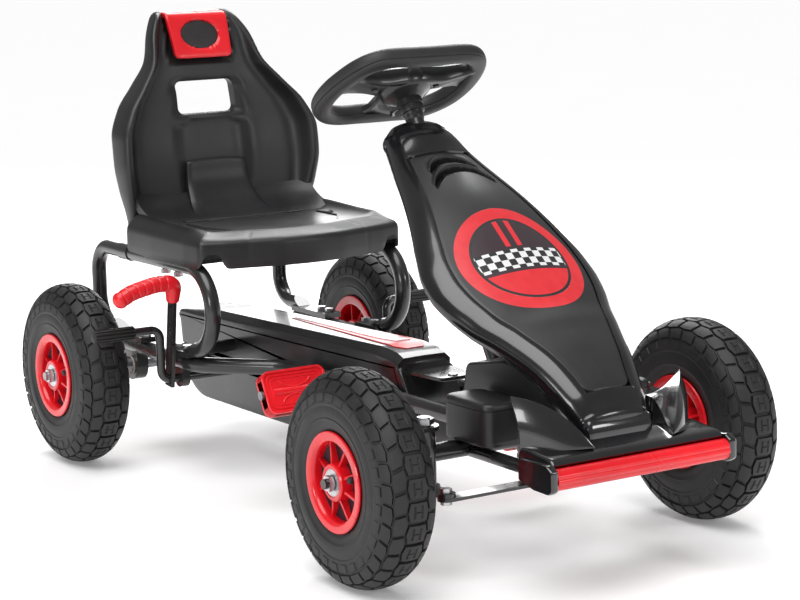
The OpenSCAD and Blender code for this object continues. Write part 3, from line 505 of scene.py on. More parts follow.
def panel_material():
    """Satin inlay of the hood with its printed roundel: a ring, a checkered band and a red segment.
    The panel's own map holds the distance down the slope and across it, in metres."""
    n = Nodes("hood_panel_print")
    chart = n.tree.nodes.new("ShaderNodeUVMap")
    chart.uv_map = "panel"
    split = n.tree.nodes.new("ShaderNodeSeparateXYZ")
    n.tree.links.new(chart.outputs[0], split.inputs[0])
    down = n.math("SUBTRACT", split.outputs[0], ROUNDEL_S * MM)
    across = split.outputs[1]
    reach = n.math("SQRT", n.math("ADD", n.math("MULTIPLY", down, down), n.math("MULTIPLY", across, across)))

    def band(value, low, high):
        return n.math("MULTIPLY", n.math("GREATER_THAN", value, low * MM),
                      n.math("LESS_THAN", value, high * MM))

    ring = band(reach, RING_FROM, RING_TO)
    disc = n.math("LESS_THAN", reach, DISC_R * MM)
    middle = n.math("LESS_THAN", n.math("ABSOLUTE", down), BAND_HALF * MM)
    square = CHECK_SIZE * MM
    checks = n.math("PINGPONG", n.math("ADD", n.math("FLOOR", n.math("DIVIDE", down, square)),
                                       n.math("FLOOR", n.math("DIVIDE", across, square))), 1.0)
    lower = n.math("MULTIPLY", disc, n.math("GREATER_THAN", down, SEGMENT_FROM * MM))
    stripe = band(n.math("ABSOLUTE", across), STRIPE_FROM, STRIPE_TO)
    above = n.math("LESS_THAN", down, -SEGMENT_FROM * MM)
    stripe = n.math("MULTIPLY", stripe, n.math("MULTIPLY", disc, above))
    shade = n.noise(14, 3)
    fine = n.noise(1600, 2)
    grey = n.mix(n.between(shade, 0.35, 0.7, 0, 1), (0.013, 0.013, 0.014), (0.018, 0.018, 0.019))
    inside = n.mix(disc, grey, (0.038, 0.022, 0.028))
    reds = n.mix(n.noise(60, 2), (0.80, 0.035, 0.045), (0.62, 0.012, 0.02))
    base = n.mix(n.math("MAXIMUM", ring, n.math("MAXIMUM", lower, stripe)), inside, reds)
    chequer = n.mix(checks, (0.02, 0.02, 0.022), (0.78, 0.78, 0.78))
    base = n.mix(n.math("MULTIPLY", disc, middle), base, chequer)
    printed = n.math("MAXIMUM", ring, disc)
    rough = n.math("SUBTRACT", n.between(shade, 0.3, 0.7, 0.38, 0.46), n.math("MULTIPLY", printed, 0.06))
    normal = n.bump(fine, 0.02, 1.0, n.bump(printed, 0.06))
    return finish_shader(n, Base_Color=base, Roughness=rough, Normal=normal, Coat_Weight=0.2,
                         Coat_Roughness=0.3)


def make_materials():
    return {
        "frame_paint": moulded("black_powder_coat", (0.012, 0.012, 0.013), 0.30, 700, 0.04, 0.10,
                               (0.16, 0.16, 0.16), 0.5, 1.0, 0.5, 0.10),
        "gloss_black": moulded("gloss_black_plastic", (0.006, 0.006, 0.007), 0.16, 1200, 0.004, 0.05,
                               (0.05, 0.05, 0.05), 1.0, 0.7, 0.25, 0.05),
        "hood_gloss": moulded("hood_gloss_plastic", (0.005, 0.005, 0.006), 0.22, 1200, 0.004, 0.05,
                              (0.05, 0.05, 0.05), 0.6, 0.7, 0.25, 0.04),
        "satin_black": moulded("satin_black_plastic", (0.009, 0.009, 0.010), 0.30, 900, 0.02, 0.10,
                               (0.08, 0.08, 0.08), 0.25, 0.8, 0.3),
        "matte_black": moulded("matte_black_plastic", (0.010, 0.010, 0.011), 0.40, 700, 0.05, 0.10,
                               (0.10, 0.10, 0.10), 0.0, 0.8, 0.3),
        "seat_plastic": moulded("grained_seat_plastic", (0.012, 0.012, 0.013), 0.40, 520, 0.07, 0.12,
                                (0.10, 0.10, 0.10), 0.0, 1.2, 0.35),
        "red_plastic": moulded("red_plastic", (0.72, 0.008, 0.016), 0.34, 900, 0.03, 0.10,
                               (0.80, 0.10, 0.10), 0.15, 0.8, 0.35),
        "red_gloss": moulded("red_gloss_paint", (0.66, 0.005, 0.012), 0.27, 1100, 0.01, 0.06,
                             (0.74, 0.10, 0.10), 0.35, 0.8, 0.3),
        # near-black red of the rim's web: painted shade between the ribs, not the plastic's own colour
        "web": moulded("painted_shade_red_plastic", (0.022, 0.003, 0.010), 0.60, 900, 0.03, 0.10,
                       (0.05, 0.006, 0.016)),
        "badge": moulded("grained_badge", (0.020, 0.017, 0.018), 0.48, 260, 0.35, 0.10, (0.09, 0.08, 0.08)),
        "grip": moulded("soft_steering_grip", (0.014, 0.014, 0.015), 0.50, 420, 0.10, 0.12,
                        (0.08, 0.08, 0.08), 0.0, 1.0, 0.3),
        "rubber": moulded("soft_rubber", (0.012, 0.012, 0.012), 0.55, 500, 0.06, 0.10, (0.06, 0.06, 0.06)),
        "zinc": metal("zinc_plate", (0.62, 0.62, 0.64), 0.30),
        "steel": metal("bare_steel", (0.42, 0.42, 0.44), 0.36),
        "nylon": moulded("natural_nylon", (0.62, 0.61, 0.57), 0.45, 700, 0.03, 0.10, (0.7, 0.7, 0.68)),
        "tyre": tyre_rubber(),
        "panel": panel_material(),
        "stripe_white": moulded("white_sticker", (0.70, 0.70, 0.70), 0.28, 1200, 0.01, 0.05, (0.6, 0.6, 0.6)),
        "stripe_red": moulded("red_sticker", (0.66, 0.008, 0.016), 0.28, 1200, 0.01, 0.05, (0.7, 0.1, 0.1)),
    }


# ---- Camera, light and floor ----

def make_camera():
    azimuth, elevation, roll = 1.008711, 0.168461, -0.024620
    back = np.array([math.sin(azimuth) * math.cos(elevation), -math.cos(azimuth) * math.cos(elevation),
                     math.sin(elevation)])
    right = np.cross(Z_UP, back)
    right /= np.linalg.norm(right)
    up = np.cross(back, right)
    c, s = math.cos(roll), math.sin(roll)
    right, up = c * right + s * up, -s * right + c * up
    data = bpy.data.cameras.new("camera")
    data.lens = 101.45
    data.sensor_width = 36.0
    data.clip_end = 60
    camera = new_object("camera", data)
    place = (2.5308, -1.5630, 0.7705)
    matrix = Matrix.Identity(4)
    for k, axis in enumerate((right, up, back, place)):
        matrix.col[k][:3] = axis
    camera.matrix_world = matrix
    bpy.context.scene.camera = camera


def add_light(name, place, target, size, power, size_y=None):
    data = bpy.data.lights.new(name, "AREA")
    data.shape = "RECTANGLE"
    data.size = size
    data.size_y = size_y or size
    data.energy = power
    light = new_object(name, data)
    light.location = place
    light.rotation_mode = "QUATERNION"
    light.rotation_quaternion = (Vector(target) - Vector(place)).to_track_quat("-Z", "Y")


def make_studio():
    scene = bpy.context.scene
    scene.view_settings.view_transform = "Standard"
    scene.view_settings.look = "None"
    world = bpy.data.worlds.new("studio")
    scene.world = world
    world.use_nodes = True
    background = world.node_tree.nodes["Background"]
    background.inputs["Color"].default_value = (1, 1, 1, 1)
    background.inputs["Strength"].default_value = 0.26
    add_light("top_softbox", (-1.4, 1.1, 2.2), (0, 0, 0.3), 1.3, 40, 0.9)
    add_light("key_softbox", (1.5, -2.9, 1.1), (0, 0, 0.3), 1.0, 20, 0.7)
    add_light("back_softbox", (-2.9, 1.6, 0.9), (0, 0, 0.3), 2.0, 34, 0.8)
    add_light("nose_softbox", (3.0, 1.4, 1.5), (0.2, 0, 0.25), 0.8, 12, 0.5)
    sun = new_object("sky_wash", bpy.data.lights.new("sky_wash", "SUN"))
    sun.data.energy = 2.3
    sun.data.angle = math.radians(50)
    sun.rotation_euler = (math.radians(18), math.radians(14), 0)
    floor_size = 30.0
    corners = [(-floor_size, -floor_size, 0), (floor_size, -floor_size, 0),
               (floor_size, floor_size, 0), (-floor_size, floor_size, 0)]
    mesh = bpy.data.meshes.new("floor")
    mesh.from_pydata(corners, [], [(0, 1, 2, 3)])
    floor = new_object("floor", mesh)
    n = Nodes("floor_paper")
    tone = n.mix(n.noise(3, 3), (0.90, 0.90, 0.90), (0.93, 0.93, 0.93))
    mesh.materials.append(finish_shader(n, Base_Color=tone, Roughness=0.85,
                                        Normal=n.bump(n.noise(300, 2), 0.05), Emission_Color=(1.0, 1.0, 1.0),
                                        Emission_Strength=0.16))


# ---- Wheels ----

PITCHES = 30
BARREL_R = 51.0
RIM_R = 60.0
HUB_HALF = 36.0
RIBS = 8


def tyre_profile():
    """Outside of the tyre's cross section as (radius, half width), and the length along it from the crown."""
    widest, half = TYRE_R - 35, 37.5
    a = np.linspace(0, math.pi / 2, 120)
    crown = np.stack([widest + 35 * np.cos(a) ** (2 / 2.2), half * np.sin(a) ** (2 / 2.2)], -1)
    r = np.linspace(widest, RIM_R + 0.5, 40)[1:]
    side = np.stack([r, half - 4.2 * ((widest - r) / 33) ** 2], -1)
    bead = np.array([[RIM_R - 3, 31.6], [BARREL_R + 2, 29.5], [BARREL_R + 1.4, 24.0]])
    line = np.concatenate([crown, side, bead])
    return line, length_along(line)


def tyre_mesh():
    """Tyre about the origin with its axis along Y. Blocks stand between grooves: a row of wide middle
    blocks with thin cuts, two rows set back by half a pitch, shoulder blocks, and bars on the sidewall."""
    line, length = tyre_profile()
    groove, cut = 3.4, 1.6
    # shares of a pitch, and distances from the crown, at which the surface turns up or down
    u_marks = [0.0, 0.065, 0.095, 0.16, 0.215, 0.245, 0.33, 0.40, 0.43, 0.478, 0.492, 0.508, 0.522,
               0.57, 0.60, 0.67, 0.755, 0.785, 0.84, 0.905, 0.935]
    v_marks = [0, 3.2, 4.4, 5.2, 6.4, 9, 11.6, 12.3, 14.3, 15.0, 17, 20, 23, 26, 28.6, 29.3, 31.4, 32.1, 35,
               38, 41, 44, 44.8, 47.4, 48.1, 50, 53, 56, 57.4, 58.1, 60, 62, 63.5, 64.6, 66.5, 70, 74, 77,
               78, 79, 81, 84, 87, 90]
    v_end = length[-1]
    v_half = np.array([v for v in v_marks if v < v_end - 4] + [v_end - 3, v_end])
    v_line = np.concatenate([-v_half[::-1], v_half[1:]])
    u_line = (np.arange(PITCHES)[:, None] + np.array(u_marks)[None, :]).ravel()
    u, v = np.meshgrid(u_line, v_line, indexing="ij")
    part, reach = u % 1.0, np.abs(v)

    def gap(low, high):
        return (part > low + 1e-6) & (part < high - 1e-6)

    def zone(low, high):
        return (reach > low - 1e-6) & (reach < high + 1e-6)

    middle_gap = (part < 0.07) | (part > 0.93)
    height = np.zeros_like(u)
    height[zone(0, 11.6) & middle_gap] = -groove
    height[zone(3.2, 6.4) & zone(4.4, 5.2) & gap(0.24, 0.76)] = -cut
    height[zone(0, 5.2) & gap(0.485, 0.515)] = -cut
    height[zone(12.3, 14.3)] = -groove
    height[zone(15.0, 28.6) & gap(0.42, 0.58)] = -groove
    height[zone(29.3, 31.4)] = -groove * 0.85
    height[zone(32.1, 44.0) & middle_gap] = -groove * 0.85
    height[zone(44.8, 47.4)] = -2.4
    bars = gap(0.22, 0.78)
    height[zone(44.8, 90)] = np.minimum(height[zone(44.8, 90)], -2.0)
    height[zone(48.1, 57.4) & bars] = -1.0
    height[zone(60, 62)] = -1.5
    height[reach > 63] = -2.2 * np.clip((72 - reach[reach > 63]) / 9, 0, 1)
    height[zone(77.5, 79.5)] = 0.8
    # zigzag of the long grooves and slant of the cross grooves
    zig = 1 - 4 * np.abs(part - 0.5)
    near_first = np.clip(1 - np.abs(reach - 13.3) / 8, 0, 1)
    near_second = np.clip(1 - np.abs(reach - 30.3) / 6, 0, 1)
    v_out = v + np.sign(v) * zig * (1.9 * near_first - 1.3 * near_second)
    slant = np.interp(reach, [0, 12, 29, 32, 45, 60], [0.0, 0.0, 0.20, 0.20, 0.05, 0.0])
    u_out = u + slant
    # points on the profile, moved along its normal by the height
    at = np.abs(v_out)
    radius = np.interp(at, length, line[:, 0])
    width = np.interp(at, length, line[:, 1])
    d = 0.5
    tangent_r = np.interp(at + d, length, line[:, 0]) - np.interp(np.maximum(at - d, 0), length, line[:, 0])
    tangent_w = np.interp(at + d, length, line[:, 1]) - np.interp(np.maximum(at - d, 0), length, line[:, 1])
    size = np.hypot(tangent_r, tangent_w) + 1e-9
    radius = radius + height * tangent_w / size
    width = width - height * tangent_r / size
    angle = u_out * 2 * math.pi / PITCHES
    y = np.sign(v_out) * width
    outer = np.stack([np.cos(angle) * radius, y, np.sin(angle) * radius], -1)
    # inner wall closes the section from bead to bead
    inner_shape = [(BARREL_R + 1.4, 18), (70, 27), (95, 29), (115, 18), (121, 0),
                   (115, -18), (95, -29), (70, -27), (BARREL_R + 1.4, -18)]
    angles = angle[:, -1:]
    inner = np.stack([np.concatenate([np.cos(angles) * r for r, _ in inner_shape], 1),
                      np.concatenate([np.full_like(angles, w) for _, w in inner_shape], 1),
                      np.concatenate([np.sin(angles) * r for r, _ in inner_shape], 1)], -1)
    grid = np.concatenate([outer, inner], 1)
    rows, columns = grid.shape[:2]
    return grid.reshape(-1, 3), grid_quads(rows, columns, close_rows=True, close_columns=True)


def rim_parts():
    """Rim about the origin, axis along Y, outer side towards +Y: barrel with rolled flanges, hub, and eight
    ribs on each side. The web between them is a piece of its own."""
    half = HUB_HALF
    barrel = [(47, -half + 1), (50, -half), (59, -half), (60, -half + 1), (60, -half + 2.6),
              (58.6, -half + 3.4), (53, -half + 5), (51, -half + 7), (51, half - 7), (53, half - 5),
              (58.6, half - 3.4), (60, half - 2.6), (60, half - 1), (59, half), (51.5, half),
              (49.5, half - 0.8), (47.6, half - 3), (46.6, half - 8), (46.4, 8), (46.4, -8),
              (46.6, -half + 8)]
    hub = [(16.1, half - 11), (16.1, half), (17.5, half + 0.5), (20.5, half + 0.5), (22, half - 1),
           (22.6, half - 8), (23.4, 4), (23.4, -4), (22.6, -half + 8), (22, -half + 1), (20.5, -half - 0.5),
           (17.5, -half - 0.5), (16.1, -half), (16.1, -half + 11), (9, -half + 11), (9, half - 11)]
    parts = [lathe(section) for section in (barrel, hub)]
    for k in range(RIBS):
        angle = (k + 0.5) * 2 * math.pi / RIBS
        u = np.array([math.cos(angle), 0, math.sin(angle)])
        for side in (-1, 1):
            outline = [(21.5, side * 2), (21.5, side * (half - 4)), (24, side * (half - 5.5)),
                       (34, side * (half - 7.5)), (46.8, side * (half - 9.5)), (46.8, side * 2)]
            parts.append(loft(slab(outline, (0, 0, 0), u, (0, 1, 0), -1.6, 1.6, 0.4)))
    return join(parts)


def web_parts():
    """Dished wall between hub and barrel, between the ribs; its dark red material is painted shade, not the
    plastic's own colour.
    """
    section = [(21, 21.5), (30, 21), (40, 21), (47.3, 22.5), (47.3, 17), (41, 14), (30, 11), (21, 8)]
    return lathe(section)


def valve_parts():
    """Valve stem with its cap, beside the hub and pointing outwards."""
    base = np.array([-31.0, 6.0, 9.0])
    tip = base + np.array([-4.0, 30.0, 0])
    axis = (tip - base) / np.linalg.norm(tip - base)
    side = np.cross(axis, [1, 0, 0])
    radii = [(0, 5.2), (5, 5.2), (6, 3.6), (17, 3.4), (17.2, 4.2), (27, 4.2), (28.5, 3.2), (29, 1.2)]
    return loft(turned(base, axis, radii, 20, side))


def shared_mesh(name, points, faces, material, sharp):
    mesh = new_mesh(name, points, faces)
    face_outwards(mesh)
    shade(mesh, sharp)
    mesh.materials.append(material)
    return mesh


def make_wheels(materials):
    """Four wheels that share their meshes; the right ones are turned to face outwards."""
    kinds = [("tyre", "_tread", "tyre", True, shared_mesh("tyre", *tyre_mesh(), materials["tyre"], 32)),
             ("rim", "_made", "red_plastic", True, shared_mesh("rim", *rim_parts(), materials["red_gloss"],
                                                               35)),
             # the web's dark red material is painted shade between the ribs
             ("web", "_made", "red_plastic", False, shared_mesh("web", *web_parts(), materials["web"], 35)),
             ("valve", "_made", "soft_rubber", False,
              shared_mesh("valve", *valve_parts(), materials["rubber"], 40))]
    for name, x, side, body in (("front_left", FRONT_X, 1, "wheel_front_left"),
                                ("front_right", FRONT_X, -1, "wheel_front_right"),
                                ("rear_left", REAR_X, 1, "rear_axle"),
                                ("rear_right", REAR_X, -1, "wheel_rear_right")):
        facing = Matrix.Identity(4) if side > 0 else Matrix.Rotation(math.pi, 4, "Z")
        place = Matrix.Translation(Vector(np.array([x, side * WHEEL_Y, AXLE_Z]) * MM)) @ facing
        for kind, ending, slot, in_cad, mesh in kinds:
            node = kind + "_" + name
            piece = new_object(node + ending, mesh)
            piece.matrix_world = place
            claim(piece, body, (node,) if in_cad else ())


# ---- Hood ----

HOOD_TOP = np.array([FRONT_X - 255, 0, 501.0])
HOOD_SLOPE = math.radians(36)
HOOD_T = np.array([math.cos(HOOD_SLOPE), 0, -math.sin(HOOD_SLOPE)])
HOOD_N = np.array([math.sin(HOOD_SLOPE), 0, math.cos(HOOD_SLOPE)])
HOOD_START = 14.0
HOOD_END = 511.0
# how much higher the ridge stands in the middle of the hood, and the panel's share of the half width
HOOD_CROWN = [(-10, 0), (40, 2), (90, 11), (160, 18), (260, 21), (330, 17), (400, 8), (470, 1), (515, 0)]
PANEL_SHARE = [(40, 0.80), (110, 0.80), (300, 0.79), (380, 0.75), (430, 0.69), (470, 0.63), (515, 0.60)]
SECTION_SHARE = 0.79
HOOD_WIDTH = [(-10, 38), (5, 42), (20, 46), (40, 51.5), (70, 60), (100, 68.5), (160, 88), (220, 108.5),
              (255, 118), (280, 119.5), (310, 114.5), (340, 104), (380, 88), (420, 73.5), (460, 62),
              (485, 55.5), (515, 47)]
# depth of the skirt below the shoulder
HOOD_SKIRT = [(0, 22), (60, 21), (200, 23), (330, 22), (390, 25), (430, 30), (465, 33), (515, 33)]
HOOD_DROP = [(-10, 6), (60, 7), (160, 3), (285, 11), (340, 9), (380, 1), (440, -6), (485, -2), (515, 8)]
# cross section from the ridge to the hem: share of the half width, and drop below the shoulder
HOOD_SECTION = np.array([
    (0, -1.0), (0.3, -1.0), (0.60, -1.0), (0.775, -1.0), (0.785, -1.0), (0.79, -8.9), (0.82, -8.6),
                         (0.86, -7.4),
    (0.90, -5.4), (0.94, -2.9), (0.975, 0.4), (0.995, 4.2), (1.0, 8.5), (0.998, 14), (0.985, 20),
                         (0.965, 25.5),
    (0.952, 28), (0.950, 30.5), (0.942, 33), (0.91, 38), (0.875, 42), (0.85, 44.5)])


# drops of the section's own shoulder and hem, between which the skirt stretches
SHOULDER_DROP, HEM_DROP = 8.5, 44.5
# how far the rounded ends of the hood drop and reach
NOSE_DROP, NOSE_REACH = 19, 13
TAIL_DROP, TAIL_REACH = 17, 23


def hood_at(s, share, drop):
    """Points at distance s down the hood, for a share of its half width and a drop below its shoulder."""
    s, share, drop = np.broadcast_arrays(*[np.asarray(q, float) for q in (s, share, drop)])
    wide = smooth(HOOD_WIDTH, s) * share
    down = smooth(HOOD_DROP, s) + drop
    return (HOOD_TOP + s[..., None] * HOOD_T - down[..., None] * HOOD_N
            + wide[..., None] * np.array([0, 1.0, 0]))


def crown_rise(s, share):
    """Height that the ridge has over the plain section."""
    return smooth(HOOD_CROWN, s) * np.clip(1 - np.abs(share) ** 2, 0, 1) ** 1.2


def hood_drops(s, share, drop):
    """Section's shares and drops at one distance: a tray under the panel, a dome behind it, the skirt."""
    level = np.interp(np.abs(share), [0, 0.3, 0.6, 0.79], [-12, -11.5, -10.4, -8.9])
    tray = float(ramp(s, 58, 62) * (1 - ramp(s, 484, 488)))
    inside = np.abs(share) < 0.787
    edge = float(smooth(PANEL_SHARE, s))
    wider = edge + (np.abs(share) - SECTION_SHARE) * (1 - edge) / (1 - SECTION_SHARE)
    new_share = np.sign(share) * np.where(np.abs(share) < SECTION_SHARE, np.abs(share) * edge / SECTION_SHARE,
                                          wider)
    dome = 9.0 * math.exp(-((s - 26) / 24) ** 2) * np.clip(1 - np.abs(share) ** 2.4, 0, 1)
    drops = np.where(inside, tray * drop + (1 - tray) * level, drop) - dome - crown_rise(s, new_share)
    skirt = float(smooth(HOOD_SKIRT, s))
    stretched = SHOULDER_DROP + (drops - SHOULDER_DROP) * (skirt - SHOULDER_DROP) / (HEM_DROP - SHOULDER_DROP)
    return new_share, np.where(drops > SHOULDER_DROP, stretched, drops), skirt


def make_hood(materials):
    section = np.concatenate([HOOD_SECTION[1:][::-1] * np.array([-1, 1]), HOOD_SECTION])
    share, drop = section[:, 0], section[:, 1]
    ones = np.ones(len(share))
    steps = np.concatenate([np.arange(HOOD_START, 66, 2.0), np.arange(66, 486, 6.0),
                            np.arange(486, HOOD_END, 2.0)])
    rows = [hood_at(ones * s, *hood_drops(s, share, drop)[:2]) for s in steps]
    # the nose turns down on a round edge to an upright face, and ends in a hem that is lowest in the middle
    wide, last, hem = hood_drops(steps[-1], share, drop)
    nose = []
    for a in np.linspace(0, math.pi / 2, 12)[1:]:
        bend = 1 - math.cos(a)
        fall = np.minimum(last + NOSE_DROP * bend, hem)
        nose.append(hood_at(ones * steps[-1], wide * (1 - 0.10 * bend),
                            fall) + NOSE_REACH * math.sin(a) * HOOD_T)
    for k in range(1, 6):
        fall = np.minimum(last + NOSE_DROP + (hem - 8 * wide ** 2 - last - NOSE_DROP) * k / 5, hem)
        nose.append(hood_at(ones * steps[-1], wide * 0.90, fall) + (NOSE_REACH - 0.7 * k) * HOOD_T)
    # the rear end is round both from above and from the side
    wide, first, hem = hood_drops(steps[0], share, drop)
    tail = []
    for a in np.linspace(0, math.pi / 2, 14)[1:]:
        bend = 1 - math.cos(a)
        fall = np.minimum(first + TAIL_DROP * bend, hem)
        tail.append(hood_at(ones * steps[0], wide * (1 - 0.52 * bend),
                            fall) - TAIL_REACH * math.sin(a) * HOOD_T)
    for k in range(1, 4):
        fall = np.minimum(first + TAIL_DROP + (hem - first - TAIL_DROP) * k / 3, hem)
        tail.append(hood_at(ones * steps[0], wide * 0.48, fall) - TAIL_REACH * HOOD_T)
    outer = np.array(tail[::-1] + rows + nose)
    shell = make_piece("hood_shell_moulded", outer.reshape(-1, 3), grid_quads(*outer.shape[:2]),
                       materials["hood_gloss"], "frame", "gloss_black", ("hood_shell",), 60, closed=False)
    wall = shell.modifiers.new("Wall", "SOLIDIFY")
    wall.thickness = 2.6 * MM
    wall.offset = -1
    make_hem_line(outer, materials)
    make_hood_panel(materials)


def make_hem_line(outer, materials):
    """Rolled edge along the hem of the hood, both sides and the nose."""
    roll, rear_rows = circle(1.7, 10), 18
    stacks = [sweep(edge, roll, Z_UP) for edge in (outer[rear_rows:, 0], outer[rear_rows:, -1])]
    stacks.append(sweep(outer[-1], roll, HOOD_T))
    closed_loft("hood_hem_roll", stacks, materials["gloss_black"], "frame", "gloss_black", (), 60)


def vent_depth(s, y):
    """Depth of two nested crescent louvres near the top of the hood."""
    depth = np.zeros_like(s)
    for apex, half, sweep_back in ((80, 36, 22), (103, 45, 27)):
        middle = apex + sweep_back * (np.abs(y) / half) ** 2.6
        width = 5.6 * np.sqrt(np.clip(1 - (np.abs(y) / half) ** 8, 0, 1))
        inside = 1 - ramp(np.abs(s - middle), width * 0.85, width * 0.85 + 0.9)
        lip = np.exp(-((s - middle + width + 4.0) / 3.0) ** 2) * (np.abs(y) < half) * np.clip(width / 4, 0, 1)
        depth += inside * 8.5 * (width > 1.0) - 3.0 * lip
    return depth


def make_hood_panel(materials):
    """Raised satin inlay with round ends and the louvres pressed into it."""
    low, high = 50.0, 485.0
    steps = np.concatenate([np.linspace(low, low + 14, 8)[:-1], np.arange(64, 68, 1.4),
                            np.arange(68, 140, 1.0), np.arange(140, 470, 5.0), np.linspace(471, high, 8)])
    across = np.linspace(-1, 1, 81)
    across = np.sign(across) * np.abs(across) ** 0.92
    from_end = np.minimum(steps - low, high - steps)
    corner = np.where(steps < 200, 16.0, 13.0)
    inset = corner - np.sqrt(np.clip(corner ** 2 - np.clip(corner - from_end, 0, None) ** 2, 0, None))
    wide, edge_share = smooth(HOOD_WIDTH, steps)[:, None], smooth(PANEL_SHARE, steps)[:, None]
    half = wide * (edge_share - 0.018) - inset[:, None]
    y = half * across
    s = np.repeat(steps[:, None], len(across), 1)
    share = y / wide
    crown = np.interp(np.abs(share) * SECTION_SHARE / edge_share, [0, 0.3, 0.6, 0.78],
                      [-12, -11.5, -10.4, -9.2])
    crown = crown + 1.3 - crown_rise(s, share)
    edge_gap = np.minimum(half - np.abs(y), from_end[:, None])
    rounding = 1.0 * (1 - np.clip(edge_gap / 2.2, 0, 1)) ** 2
    depth = vent_depth(s, y)
    top = hood_at(s, share, crown - 1.6 + rounding + depth)
    bottom = hood_at(s, share, crown + 9.5)
    panel = make_piece("hood_panel_inlay", *sheet(top, bottom), materials["panel"], "frame", "satin_panel",
                       ("hood_panel",), 42, closed=False)
    face_outwards(panel.data)
    # the floors of the louvres get the dark rubber material: painted shade in the recesses
    panel.data.materials.append(materials["rubber"])
    sunk = np.concatenate([(depth > 2.0).ravel(), np.zeros(depth.size, bool)])
    for face in panel.data.polygons:
        if sunk[list(face.vertices)].sum() > 1:
            face.material_index = 1
    chart = panel.data.uv_layers.new(name="panel")
    flat = np.concatenate([np.stack([s, y], -1).reshape(-1, 2)] * 2) * MM
    loops = np.zeros(len(panel.data.loops), np.int32)
    panel.data.loops.foreach_get("vertex_index", loops)
    chart.data.foreach_set("uv", flat[loops].ravel())


# ---- Seat ----

# height, place of the middle behind the front axle, half width, place of the bolsters
BACK_ROWS = [(639, -868, 62, -862), (606, -852, 81, -840), (567, -843, 93, -820), (536, -837, 117, -804),
             (500, -828, 147, -788), (460, -818, 163, -778), (424, -812, 164, -776), (385, -809, 159, -781),
             (350, -807, 151, -788), (318, -805, 146, -792)]
# opening in the backrest: height of its middle, half sizes across and up, corner radius
WINDOW_Z = 512.0
WINDOW_HALF = (48, 24)
WINDOW_CORNER = 9
# half of a cross section: share of the half width, share of the bolster's rise, and millimetres backwards
BACK_SECTION = [(0, 0, 0), (0.1, 0, 0), (0.2, 0, 0), (0.3, 0, 0), (0.4, 0, 0), (0.5, 0, 0), (0.58, 0.005, 0),
                (0.66, 0.02, 0), (0.73, 0.05, 0), (0.785, 0.12, 0), (0.825, 0.24, 0), (0.855, 0.42, 0),
                (0.88, 0.64, 0), (0.90, 0.82, 0), (0.92, 0.94, 0), (0.945, 1.0, 0), (0.97, 0.97, 0),
                (0.99, 0.86, 0), (1.0, 0.66, 0), (1.004, 0.35, 0), (1.0, 0, -2), (0.985, 0, -10),
                (0.96, 0, -15), (0.90, 0, -19), (0.75, 0, -20), (0.5, 0, -20), (0.25, 0, -20), (0, 0, -20)]


def back_at(column, z):
    """A column of BACK_ROWS at height z."""
    return smooth(sorted((row[0], row[column]) for row in BACK_ROWS), z)


def box_distance(y, z, centre_z, half_y, half_z, corner):
    """Signed distance from a rounded rectangle's edge, negative inside."""
    dy = np.abs(y) - (half_y - corner)
    dz = np.abs(z - centre_z) - (half_z - corner)
    outside = np.hypot(np.clip(dy, 0, None), np.clip(dz, 0, None))
    return outside + np.minimum(np.maximum(dy, dz), 0) - corner


def back_relief(y, z):
    """How far the backrest's front is set back: round the window, in the arch below it and behind the
    headrest."""
    window = box_distance(y, z, WINDOW_Z, *WINDOW_HALF, WINDOW_CORNER)
    depth = 7.0 * np.clip(1 - window / 9, 0, 1) ** 2
    arch = box_distance(y, z, 420, 57, 60, 22)
    depth += 5.0 * (1 - ramp(arch, -3.5, 0)) * ramp(z, 360, 400)
    head = box_distance(y, z, 606, 52, 42, 10)
    depth += 6.0 * (1 - ramp(head, -1.5, 1.0))
    return depth


def make_seat_back(materials):
    half = np.array(BACK_SECTION)
    mirror = half[1:-1][::-1] * np.array([-1, 1, 1])
    section = np.concatenate([half, mirror])
    low, high = 322.0, 639.0
    heights = np.concatenate([np.arange(low, high - 16, 4.0), np.linspace(high - 14, high, 8)])
    rings = []
    for z in heights:
        middle, wide = back_at(1, z), back_at(2, z)
        rise = back_at(3, z) - middle
        near_top = np.clip((z - (high - 14)) / 14, 0, 1)
        pull = 1 - np.sqrt(1 - near_top ** 2) if near_top < 1 else 1.0
        horn = ramp(z, 560, 640)
        x = FRONT_X + middle + section[:, 1] * rise + section[:, 2] * (1 + 0.35 * horn)
        y = section[:, 0] * wide
        on_front = section[:, 2] > -1
        x = np.where(on_front & (np.abs(section[:, 0]) < 0.9), x - back_relief(y, z), x)
        # the middle of the top edge is lower than the horns beside it
        z_top = z - 6 * horn * (1 - ramp(np.abs(y), 46, 56))
        centre_x = FRONT_X + middle - 10
        x = centre_x + (x - centre_x) * (1 - 0.75 * pull)
        y = y * (1 - 0.06 * pull)
        rings.append(np.stack([x, y, z_top], -1))
    # more points across, so that the relief is sharp
    points, faces = loft(refine(np.array(rings), 4))
    cut_window(make_piece("seat_back", points, faces, materials["seat_plastic"], "frame", "seat_plastic",
                          ("seat_shell",), 50))


def cut_window(back):
    """Opening through the backrest, with round corners."""
    outline = block(*WINDOW_HALF, WINDOW_CORNER, 5) + np.array([0, WINDOW_Z])
    points, faces = loft(slab(outline, (FRONT_X - 900, 0, 0), (0, 1, 0), (0, 0, 1), 0, 120))
    cutter = new_object("window_cutter", new_mesh("window_cutter", points, faces))
    face_outwards(cutter.data)
    opening = back.modifiers.new("Window", "BOOLEAN")
    opening.operation = "DIFFERENCE"
    opening.object = cutter
    opening.solver = "EXACT"
    apply_modifiers(back)
    bpy.data.objects.remove(cutter)
    shade(back.data, 50)


def apply_modifiers(piece):
    graph = bpy.context.evaluated_depsgraph_get()
    made = bpy.data.meshes.new_from_object(piece.evaluated_get(graph))
    piece.modifiers.clear()
    piece.data = made


